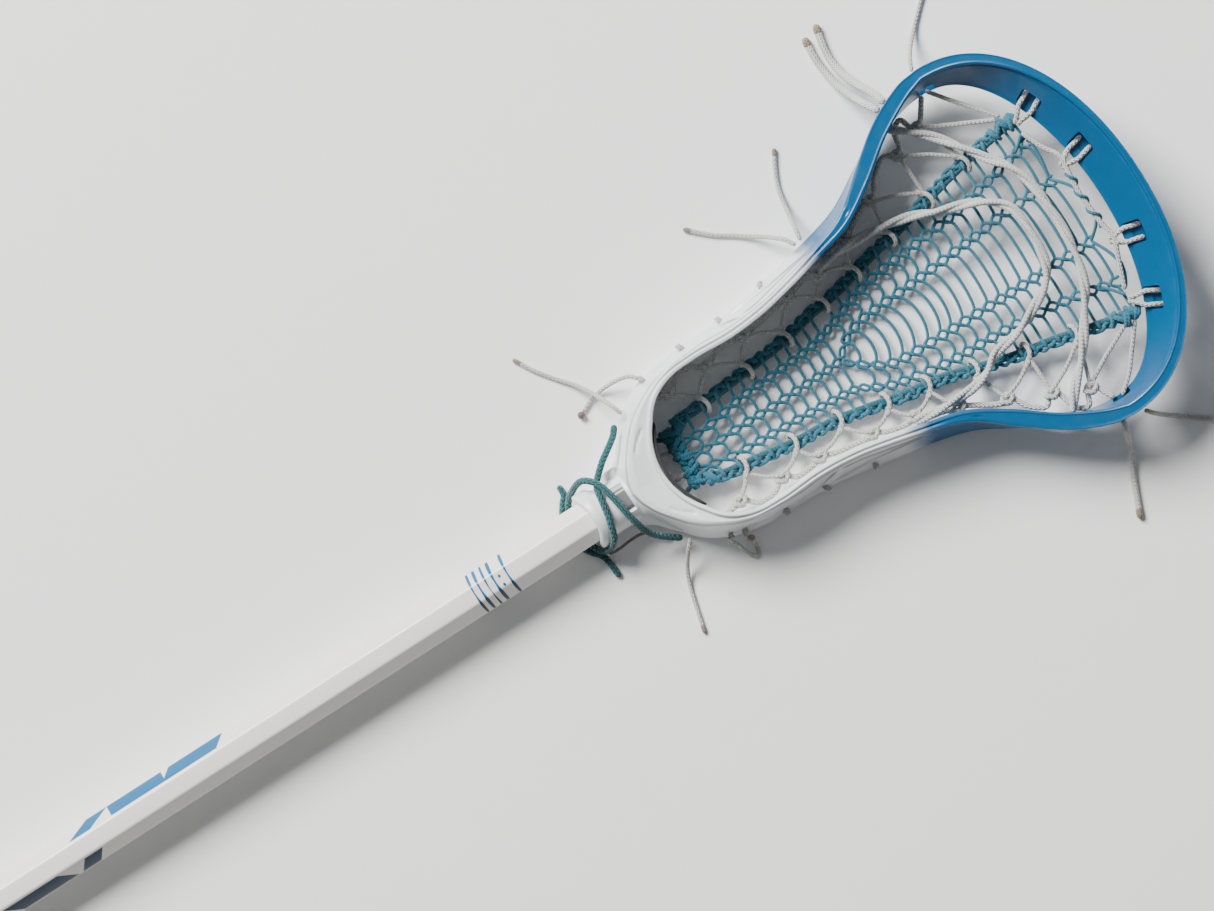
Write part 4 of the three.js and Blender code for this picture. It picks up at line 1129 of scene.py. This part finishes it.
# The short strands past the last column: plan points that each runs from and to.
WEB_ENDS = [
    ((251, 21), (253, 44)), ((251, 20), (259.4, 9)), ((252, -17.5), (260.4, -9)),
    ((252, -18.5), (258.4, -36)), ((258.4, -36), (254, -47)), ((252, 43), (257, 36)),
    ((240, -38), (251, -50)), ((241, 40), (250, 47))]
CHAIN_DIAMETER = 1.72
COLUMN_DIAMETER = 1.75


def string_height(x, y):
    """The strings' ground layer: the runner's middle, rising to the top of the rails at the walls."""
    wall = 50 + 45 * smooth(130, 215, x)
    edge = 20 + 35 * smooth(80, 255, x)
    rise = smooth(0, 1, (np.abs(y) - edge) / (wall - edge))
    return NET_HEIGHT(x) + (RAIL_HEIGHT(x) + 6.5 - NET_HEIGHT(x)) * rise


def laid(points, layer):
    """Plan points laid at a height above the ground layer."""
    return [(x, y, float(string_height(x, y)) + layer) for x, y in points]


def strand(points, diameter, sides=8, spacing=1.1):
    """A plain rod on the smooth line through points given in millimetres, as is its diameter."""
    return rod_arrays(smooth_path(place(points), spacing / 1000), diameter / 2000, sides)


def eye(x):
    """Half the height of a chain's eyes."""
    return 1.8 + 0.5 * smooth(100, 150, x)


def chain(line, start, stop):
    """Two strands that cross midway between columns: y = line(x) + and - eye cos(pi u), and z rises
    and falls with sin(pi u), where u counts the columns along x."""
    x = np.arange(start, stop, 0.9)
    u = np.interp(x, COLUMNS, np.arange(len(COLUMNS)))
    parts = []
    for side in (1, -1):
        y = line(x) + side * eye(x) * np.cos(np.pi * u)
        z = NET_HEIGHT(x) + 0.55 * side * np.sin(np.pi * u)
        parts.append(rod_arrays(place(np.stack([x, y, z], -1)), CHAIN_DIAMETER / 2000, 8))
    return parts


def column(x, lines, bow):
    """One thin string across the runner: round the near side of each chain's eye, over both edges."""
    lean = float(np.interp(x, [60, 110, 160, 200], [1.2, 0.5, 1.0, 0.3]))
    points = []
    for k, line in enumerate(lines):
        centre, half, z = float(line(x)), float(eye(x)), float(NET_HEIGHT(x))
        points += [(x + 0.4, centre + half + 0.9, z + 0.1), (x - 2.7, centre + 0.3, z + 0.95),
                   (x + 0.2, centre - half - 0.9, z + 0.1)]
        if k + 1 < len(lines):
            below = float(lines[k + 1](x))
            span = centre - below - 2 * half
            if span > 6:
                points += [(x + 0.4 + bow * min(1, span / 28) * w, centre - half - span * f, z)
                           for f, w in ((0.25, 0.75), (0.5, 1.0), (0.75, 0.75))]
    left, right, z = float(LEFT_EDGE(x)), float(RIGHT_EDGE(x)), float(NET_HEIGHT(x))
    over = [(x + lean + 0.6, left + 2.8, z - 0.4), (x + lean + 0.4, left + 1.2, z + 2.4),
            (x + lean, left - 2.0, z + 2.2), (x + lean * 0.8, left - 3.6, z + 0.3)]
    under = [(x + lean * 0.8, right + 3.6, z + 0.3), (x + lean, right + 2.0, z + 2.2),
             (x + lean + 0.4, right - 1.2, z + 2.4), (x + lean + 0.6, right - 2.8, z - 0.4)]
    return strand(over + points + under, COLUMN_DIAMETER, 8, 1.0)


def make_web():
    """Four chains, all the columns, and the short strands at the scoop."""
    parts = chain(OUTER_LEFT, 24.75, 254) + chain(OUTER_RIGHT, 24.75, 254)
    parts += chain(INNER_LEFT, 24.75, 253) + chain(INNER_RIGHT, 111, 253)
    for x in THROAT_COLUMNS:
        parts.append(column(x, [OUTER_LEFT, INNER_LEFT, OUTER_RIGHT], 0.8))
    for x in SCOOP_COLUMNS:
        bow = 3.2 - 2.2 * float(smooth(150, 200, x))
        parts.append(column(x, [OUTER_LEFT, INNER_LEFT, INNER_RIGHT, OUTER_RIGHT], bow))
    for near, far in WEB_ENDS:
        middle = ((near[0] + far[0]) / 2 + 0.8, (near[1] + far[1]) / 2)
        route = [(*at, float(NET_HEIGHT(at[0])) + lift)
                 for at, lift in ((near, 0), (middle, 1.6), (far, 2.8))]
        parts.append(strand(route, 1.8))
    return joined("woven_web", parts)


def make_edge(name, line, side):
    """The braided core lies on the inner side; two strands twist about a line on the outer side."""
    x = np.arange(20, 251, 1.0)
    edge = line(x)
    height = string_height(x, edge)
    core = np.stack([x, edge - 0.9 * side, height], -1)
    turn = (x - 20) / 7 * math.pi
    loops = []
    for phase in (0, math.pi):
        swing = turn + phase + 0.5 * np.sin(turn * 1.7 + phase)
        loops.append(np.stack([x, edge + side * (1.9 + 1.4 * np.cos(swing)),
                               height + 0.4 + 1.3 * np.sin(swing)], -1))
    core_rod = rod_arrays(smooth_path(place(core), 0.0011), 0.0016, 14, 8, 3.0, 0.1)
    wraps = [rod_arrays(smooth_path(place(loop), 0.0009), 0.00112, 10) for loop in loops]
    fit(joined(name + "_core", [core_rod]), CORE_TEAL, "runner_cord", "stick", name)
    fit(joined(name + "_loops", wraps), TEAL, "runner_cord", "stick")


def ring_round(centre, along, radius, diameter, squash=1.0, turns=1.0, advance=0.0, phase=0.0, count=22):
    """A ring, or a coil of several turns, round a plan direction at a point in millimetres: side
    radius cos a, up squash radius sin a, and a way along that grows with the angle a."""
    along = np.append(np.asarray(along, float), 0) / np.linalg.norm(along)
    side = np.array([-along[1], along[0], 0])
    angle = np.linspace(0, 2 * math.pi * turns, int(count * turns)) + phase
    t = np.linspace(-0.5, 0.5, len(angle)) * advance
    points = np.asarray(centre, float) + along * t[:, None] + side * radius * np.cos(angle)[:, None]
    points[:, 2] += radius * squash * np.sin(angle)
    return rod_arrays(place(points), diameter / 2000, 8)


# A coil: its place along the edge, how far out it lies, its slant, radius, turns and cord diameter.
EDGE_COILS = [
    (239.5, 0.2, 0.5, 3.5, 1.1, 2.4), (242.5, 1.4, -0.7, 3.7, 1.2, 2.6), (246.2, 1.5, 0.55, 4.2, 1.3, 2.7),
    (249.2, -0.3, -0.3, 3.8, 1.1, 2.6), (252, 0.6, 0.8, 3.3, 1.2, 2.4)]


def make_edge_knots():
    """The tied-off scoop end of each edge: coils of its own cord, each at another slant."""
    parts = []
    for line, side in ((LEFT_EDGE, 1), (RIGHT_EDGE, -1)):
        for x, off, slant, radius, turns, diameter in EDGE_COILS:
            y = float(line(x)) + off * side
            centre = (x, y, float(string_height(x, y)) + 0.4)
            parts.append(ring_round(centre, (1, slant * side), radius, diameter, 0.8, turns, 1.6, x))
    return joined("edge_knots", parts)


# The foot's wraps: place across, radius and slant. Its ends: plan points each runs from and to.
FOOT_WRAPS = [(15.5, 4.6, 0.5), (9, 4.5, -0.35), (1.5, 4.4, 0.3), (-6, 4.5, -0.3), (-12.5, 4.6, 0.45)]
FOOT_ENDS = [
    ((15.5, 16), (22, 18)), ((15.5, -13), (22, -15)), ((17, 11.5), (24.8, 8.3)), ((17, 5.5), (24.8, 7.9)),
    ((17.5, 2.5), (24.8, -0.6)), ((17.5, -3), (24.8, -1)), ((17.5, -6), (24.8, -9)),
    ((17, -11.5), (24.8, -9.4)), ((17, 10), (27, 16.8)), ((17, -10), (27, -14.5))]
FOOT_COILS = [(20.8, 17.6), (23.6, 18.2), (20.8, -14.6), (23.6, -15.4)]
FOOT_HEIGHT = 10


def make_foot():
    """A flat plait of three strands: across = a sin(t + k), height = b sin 2(t + k), with wraps over
    it and short ends that fan out to the edges and the chains."""
    parts = []
    y = np.linspace(17.5, -14.5, 60)
    middle_line = 14.4 + 1.3 * np.cos((y - 1.5) / 16 * math.pi / 2)
    for k in range(3):
        swing = y / 13 * 2 * math.pi + k * 2 * math.pi / 3
        route = np.stack([middle_line + 2.7 * np.sin(swing), y, FOOT_HEIGHT + 1.3 * np.sin(2 * swing)], -1)
        parts.append(rod_arrays(smooth_path(place(route), 0.001), 0.0017, 10))
    for y, radius, slant in FOOT_WRAPS:
        parts.append(ring_round((15.4, y, FOOT_HEIGHT), (slant, 1), radius, 2.5, 0.6, 1.15, 1.5, y))
    for a, b in FOOT_ENDS:
        middle = ((a[0] + b[0]) / 2, (a[1] + b[1]) / 2 + 0.3)
        parts.append(strand([(*a, FOOT_HEIGHT), (*middle, FOOT_HEIGHT - 0.4), (*b, FOOT_HEIGHT - 1)], 1.9))
    for x, y in FOOT_COILS:
        parts.append(ring_round((x, y, FOOT_HEIGHT - 0.2), (1, 0.25), 3.1, 2.5, 0.7, 1.3, 2.2, x))
    return joined("foot_plait", parts)


fit(make_web(), TEAL, "runner_cord", "stick", "runner_web")
make_edge("runner_edge_left", LEFT_EDGE, 1)
make_edge("runner_edge_right", RIGHT_EDGE, -1)
fit(make_edge_knots(), TEAL, "runner_cord", "stick")
fit(make_foot(), TEAL, "runner_cord", "stick", "runner_foot_wrap")
for number, tie_y, teal in ((1, 17.5, True), (2, 9, False), (3, -7, False), (4, -15, True)):
    wall_x = THROAT_FACE + STOP_GAP + THROAT_BOW * tie_y * tie_y
    tie = strand([(wall_x, tie_y, 8.5), ((wall_x + 12) / 2, tie_y * 0.9, 9.4), (13, tie_y * 0.8, 11.4)],
                 2.4 if teal else 1.9, 12, 0.8)
    fit(joined("foot_tie_%d_cord" % number, [tie]), CORE_TEAL if teal else WHITE,
        "runner_cord" if teal else "white_string", "stick", "foot_tie_%d" % number)

# ---------------------------------------------------------------------------------------------
# Sidewall stringing: on each side a braided string runs just inside the lip and is knotted to a
# thinner one that zigzags to the runner, where it loops round the edge cord.
LEFT_KNOTS = [
    (27, 32.6), (51, 34.4), (76, 36.8), (105, 41.4), (125, 43.4), (146, 51), (168, 60.8), (192, 73),
    (208, 79.4)]
RIGHT_KNOTS = [
    (28, -33), (53, -34.6), (75, -36.2), (104, -40.6), (127, -45), (149, -53), (172, -63), (193, -73),
    (211, -81.5)]
LACING_LOOPS = [39, 67, 93, 118.5, 141, 166, 193, 218.5]
# One loop round the edge cord: how far along, out to the wall and up from the cord's middle.
LOOP_WRAP = [
    (-2.0, 5.0, 1.6), (-0.2, 4.0, 3.4), (1.3, 1.6, 4.0), (1.9, -1.2, 3.7), (1.5, -3.6, 2.4), (0.7, -4.6, 0.4),
    (-0.2, -4.2, -1.9), (-1.0, -1.0, -2.9), (-1.8, 2.6, -2.7), (-2.2, 5.2, -0.8), (-2.0, 5.4, 1.0)]


def lacing(knots, line, side):
    """From knot to knot by way of a loop round the edge cord; the span bows a little towards the wall."""
    parts = []
    for k, x in enumerate(LACING_LOOPS):
        edge = float(line(x))
        height = float(string_height(x, edge))
        first, second = knots[k], knots[k + 1]
        slope = float(line(x + 1) - line(x - 1)) / 2
        neck = (x - 0.6, edge + 4.6 * side)
        for knot, foot, pull in ((first, -0.9, -1.4), (second, 0.9, 1.6)):
            middle = (0.5 * (knot[0] + neck[0]) + pull * 0.2, 0.5 * (knot[1] + neck[1]) + side * 0.9)
            run = laid([(knot[0], knot[1] - side), middle, (neck[0] + foot * 0.6, neck[1])], 2.6)
            run += [(x + foot * 0.4 - 0.6, edge + 3.6 * side, height + 3.2)]
            parts.append(strand(run, 2.1, 10, 0.9))
        wrap = [(x + dx, edge + dy * side + slope * dx, height + dz) for dx, dy, dz in LOOP_WRAP]
        parts.append(rod_arrays(smooth_path(place(wrap), 0.0009), 0.00125, 12, 6, 2.8, 0.1))
        parts.append(ring_round((x - 1.2, edge + 5.0 * side, height + 2.2), (0.8, 0.6 * side), 2.0, 2.1, 0.7))
    return parts


def knot(x, y, size=1.0):
    """A small hitch: a flat eyelet of string with two wraps lying across its back."""
    z = float(string_height(x, y)) + 1.9
    angle = np.linspace(0, 2 * math.pi, 26)
    eyelet = [x + 2.3 * size * np.cos(angle), y + 2.0 * size * np.sin(angle), z + 0.5 * np.sin(2 * angle)]
    parts = [rod_arrays(place(np.stack(eyelet, -1)), 0.0013, 10)]
    for way, out in ((-1, 1.2), (1, 1.3)):
        centre = (x + 1.8 * way * size, y + math.copysign(out, y), z - 0.2)
        parts.append(ring_round(centre, (0.7, -0.7 * way), 1.9 * size, 2.3, 0.8))
    return parts


def wall_string(knots, side):
    """Runs along the lip and dips to each knot; plan points between knots lie just inside the lip."""
    route = [(19, side * 34.5)]
    for k, (x, y) in enumerate(knots):
        route += [(x - 2.4, y + side * 1.2), (x + 2.4, y + side * 1.2)]
        if k + 1 < len(knots):
            gap = knots[k + 1][0] - x
            for share in (0.32, 0.68):
                at = x + share * gap
                inside = 1.9 + 1.2 * float(smooth(140, 190, at))
                route.append((at, side * (float(LIP_INNER(at)) - inside)))
    route.append((218, side * 91))
    return rod_arrays(smooth_path(place(laid(route, 0.8)), 0.0007), 0.00145, 16, 6, 3.2, 0.16)


# Where the wall strings come out through the wall.
WALL_KNOTS = {
    "left": [(18.6, 47.2, 13), (44.4, 50.4, 9), (69, 51.2, 9), (96.5, 54.8, 9)],
    "right": [(14, -46.2, 13), (21.6, -48.0, 12), (45.2, -50.5, 9), (69.2, -51.4, 9), (96.5, -55, 9)],
}


def outer_knots(name):
    """Small coils that hold the wall string on the outside of the wall."""
    return [ring_round(at, (1, 0.1), 1.3, 1.9, 0.9, 1.6, 2.2, at[0]) for at in WALL_KNOTS[name]]


for name, knots, line, side in (("left", LEFT_KNOTS, LEFT_EDGE, 1), ("right", RIGHT_KNOTS, RIGHT_EDGE, -1)):
    hitches = [part for x, y in knots for part in knot(x, y, 1.15)]
    fit(joined("lacing_%s" % name, lacing(knots, line, side) + hitches), WHITE, "white_string", "stick",
        "runner_lacing_%s" % name)
    fit(joined("wall_braid_%s" % name, [wall_string(knots, side)] + outer_knots(name)), WHITE,
        "white_string", "stick", "sidewall_string_%s" % name)

# ---------------------------------------------------------------------------------------------
# Shooting strings: two soft thick strings that swing across the top of the pocket in a U, one
# inside the other, lying over all the others. Each is a loose knitted tube.
INNER_SHOOTER = [
    (127, 46.5), (143, 47.5), (160, 47), (180, 43), (195, 37), (210, 32), (220, 26), (226, 19), (228, 10),
    (228, 0), (226, -14), (221, -23), (210, -30), (195, -37), (180, -40), (170, -46), (158, -49), (142, -49),
    (127, -47.5)]
OUTER_SHOOTER = [
    (196, 86), (205, 78), (213, 70), (222, 58), (230, 46), (237, 37), (241, 25), (243, 10), (243, 0),
    (242, -13), (240, -25), (235, -38), (228, -48), (220, -60), (213, -68), (205, -76), (197, -86)]


def twist(path, radius, diameter, pitch, phase=0.0, sides=8, strands=0, knit=1.0, relief=0.0):
    """A strand wound round a path: radius times (cos a side + sin a up), a turning once per pitch."""
    _, side, up = path_frame(path)
    run = np.concatenate([[0], np.cumsum(np.linalg.norm(np.diff(path, axis=0), axis=1))]) * 1000
    angle = (run / pitch * 2 * math.pi + phase)[:, None]
    wound = path + radius / 1000 * (np.cos(angle) * side + np.sin(angle) * up)
    return rod_arrays(wound, diameter / 2000, sides, strands, knit, relief)


def make_shooter(name, plan):
    """Two soft strands lie against each other and turn slowly about their common line."""
    path = smooth_path(place(laid(plan, 7.2)), 0.0008)
    phases = (0.4, 0.4 + math.pi)
    return joined(name, [twist(path, 1.15, 3.0, 56, phase, 18, 8, 4.0, 0.14) for phase in phases])


for place_in_pocket, plan in (("inner", INNER_SHOOTER), ("outer", OUTER_SHOOTER)):
    fit(make_shooter("shooter_" + place_in_pocket, plan), SOFT_WHITE, "shooter_string", "stick",
        "shooting_string_" + place_in_pocket)

# ---------------------------------------------------------------------------------------------
# Scoop strings: a braided white string runs inside the scoop from loop to loop, with a teal one
# twisted round it, and each loop goes over the rail and back through its slot. Two strings on each
# side run from the runner's end out to the corner of the scoop.
TOP_ROUTE = [
    (252, 47), (256, 37), (261.3, 27.5), (260.6, 18), (259.6, 7), (260, -4), (260.8, -14), (262.2, -22.5),
    (258.6, -32), (253, -47)]
TWISTED_PART = slice(3, 7)
# A scoop loop's steps: how far out from the rail's inner edge, and how high above the rail.
LOOP_STEPS = [
    (-7, 5.4), (-3, 6.9), (1, 7.8), (4.5, 8.1), (7.6, 7.2), (9.6, 4.8), (9.4, 1.0), (6, -1.9), (-1, -1.9),
    (-5, 0.5)]
LOOP_HALF_WIDTH = 3.6
CORNER_STRINGS = {
    "left_1": [(246, 62), (238, 72), (230, 82), (222.5, 92)],
    "left_2": [(246, 60), (232, 67), (222, 72), (209, 79)],
    "right_1": [(248, -65), (240, -75), (232, -85), (223.5, -92.5)],
    "right_2": [(246, -62), (234, -68), (224, -73), (212, -80)],
}


def scoop_loop(degrees, side):
    """Radial steps from the rail's inner edge, over it and down through the slot, in two strands."""
    angle = math.radians(degrees)
    rail = scoop_curve(SCOOP_RAIL_INNER, angle)
    away = scoop_curve(SCOOP_LIP_OUTER, angle) - rail
    away /= np.linalg.norm(away)
    low = float(RAIL_HEIGHT(rail[0] + 18))
    parts = []
    for offset in (-LOOP_HALF_WIDTH, LOOP_HALF_WIDTH):
        route = []
        for r, z in LOOP_STEPS:
            slide = offset * min(1, max(0.25, (r + 7) / 7))
            x = rail[0] + r * away[0] - slide * away[1]
            route.append((x, side * (rail[1] + r * away[1] + slide * away[0]), low + z))
        parts.append(rod_arrays(smooth_path(place(route), 0.0007), 0.00125, 16, 6, 3.2, 0.16))
    return parts


for number, degrees, side in ((1, LOW_SLOT, 1), (2, HIGH_SLOT, 1), (3, HIGH_SLOT, -1), (4, LOW_SLOT, -1)):
    fit(joined("scoop_tie_%d" % number, scoop_loop(degrees, side)), WHITE, "white_string", "stick",
        "scoop_loop_%d" % number)
top_rod = rod_arrays(smooth_path(place(laid(TOP_ROUTE, 4)), 0.0009), 0.0013, 14, 6, 2.8, 0.12)
fit(joined("top_braid", [top_rod]), WHITE, "white_string", "stick", "top_string")
twisted = twist(smooth_path(place(laid(TOP_ROUTE[TWISTED_PART], 4)), 0.0008), 1.8, 1.8, 11)
fit(joined("top_twist", [twisted]), TEAL, "runner_cord", "stick")
for corner, plan in CORNER_STRINGS.items():
    rod = rod_arrays(smooth_path(place(laid(plan, 0.5)), 0.0009), 0.0012, 14, 6, 2.8, 0.12)
    fit(joined("corner_braid_" + corner, [rod]), WHITE, "white_string", "stick", "corner_string_" + corner)

# ---------------------------------------------------------------------------------------------
# Throat cords: a dark teal braided cord crosses over the socket and passes under the shaft, with a
# second one tied behind it, a thin brown string on the right, and on the right wall a small white
# loop that ends in a melted bead.
# The second colour of each is the painted shade in its braid's creases.
AGED = string_material("aged_string", (0.27, 0.245, 0.22), (0.10, 0.09, 0.08), 6.0, 2.0, 0.0003)
MELTED_BEAD = string_material("loop_bead", (0.50, 0.44, 0.37), (0.26, 0.21, 0.17), 6.0, 2.0, 0.0003, 0.5)
THROAT_TEAL = string_material("throat_braid", (0.003, 0.13, 0.145), (0.001, 0.02, 0.025), 7.0, 2.6, 0.0008)
AROUND = [
    (-6.5, 33.6, 17), (-9, 30.6, 18), (-12.5, 28, 20), (-17, 25, 22.5), (-22, 21.5, 25), (-29, 15, 27.4),
    (-31, 10.5, 29.2), (-32, 5, 30.5), (-33, -1, 30.6), (-34.5, -7, 29.6), (-37, -14, 25), (-41, -17.4, 15),
    (-45.5, -16.4, 8), (-49, -10.5, 3.2), (-50, -5, 1.95), (-50, 4, 1.95), (-49, 10.5, 3.2), (-45.5, 15.8, 8),
    (-42.5, 17.6, 14), (-38.8, 19.4, 20), (-35, 19.6, 25.5), (-31.4, 17, 29.4), (-28.6, 12.8, 31),
    (-26.8, 7, 31.6), (-25.6, 0.6, 31.7), (-24.6, -6, 31), (-23, -14, 27.6), (-21, -20, 21.5),
    (-17.5, -24.6, 17), (-13, -28.6, 13), (-8.5, -32, 10)]
TIE = [
    (-46.6, 22.6, 2.2), (-46.9, 18.6, 1.8), (-50.3, 14.4, 1.8), (-54, 8, 1.9), (-54.6, -2, 1.9),
    (-53.4, -9, 2), (-50.8, -14, 2.1), (-47.4, -18, 2.2), (-45.8, -23, 2), (-45.3, -31, 1.8)]
THIN = [
    (-43.5, -20, 11.5), (-38, -20.2, 8), (-31, -19.6, 6.5), (-24, -19.9, 6), (-18.5, -23.6, 5.6),
    (-14.5, -27.3, 5.2)]
WALL_LOOP = [
    (13.4, -47.4, 12), (14.6, -50.4, 11), (16, -55, 6.4), (18, -59.6, 2.4), (20.4, -61.6, 1.3),
    (22.4, -59, 1.4), (22.8, -55, 4.4), (22.4, -53.6, 7.6)]
BEAD_AT = (22.4, -52.2, 10.4)


def braided(name, route, diameter, relief, *finish):
    """A braided rod on a route in millimetres, with its material, body and nodes; the slot passed along is
    not used.
    """
    rod = rod_arrays(smooth_path(place(route), 0.0007), diameter / 2000, 24, 8, 3.4, relief)
    return fit(joined(name, [rod]), *finish)


def make_bead(name, centre, radius, around=20):
    """A lumpy ball: the radius follows two low waves over the angles u from the pole and v around."""
    u = np.linspace(0, math.pi, 14)[1:-1, None]
    v = np.arange(around)[None, :] / around * 2 * math.pi
    r = radius * (1 + 0.06 * np.sin(3 * v) * np.sin(2 * u) + 0.04 * np.cos(2 * v))
    grid = np.stack([r * np.sin(u) * np.cos(v), r * np.sin(u) * np.sin(v),
                     np.broadcast_to(radius * np.cos(u), r.shape)], -1)
    verts = np.vstack([grid.reshape(-1, 3), [[0, 0, radius], [0, 0, -radius]]]) + np.array(centre)
    return turned_out(mesh_object(name, place(verts), capped_rings(len(grid), around)))


braided("throat_wrap", AROUND, 3.5, 0.14, THROAT_TEAL, "throat_string", "stick", "throat_cord")
braided("throat_tie", TIE, 3.3, 0.14, THROAT_TEAL, "throat_string", "stick", "throat_cord_tie")
braided("socket_string", THIN, 1.6, 0.08, AGED, "burnt_tip", "stick", "collar_string")
braided("wall_string_loop", WALL_LOOP, 2.1, 0.12, WHITE, "white_string", "stick", "wall_loop_right")
fit(make_bead("loop_bead", BEAD_AT, 2.1), MELTED_BEAD, "burnt_tip", "stick", "wall_loop_bead")
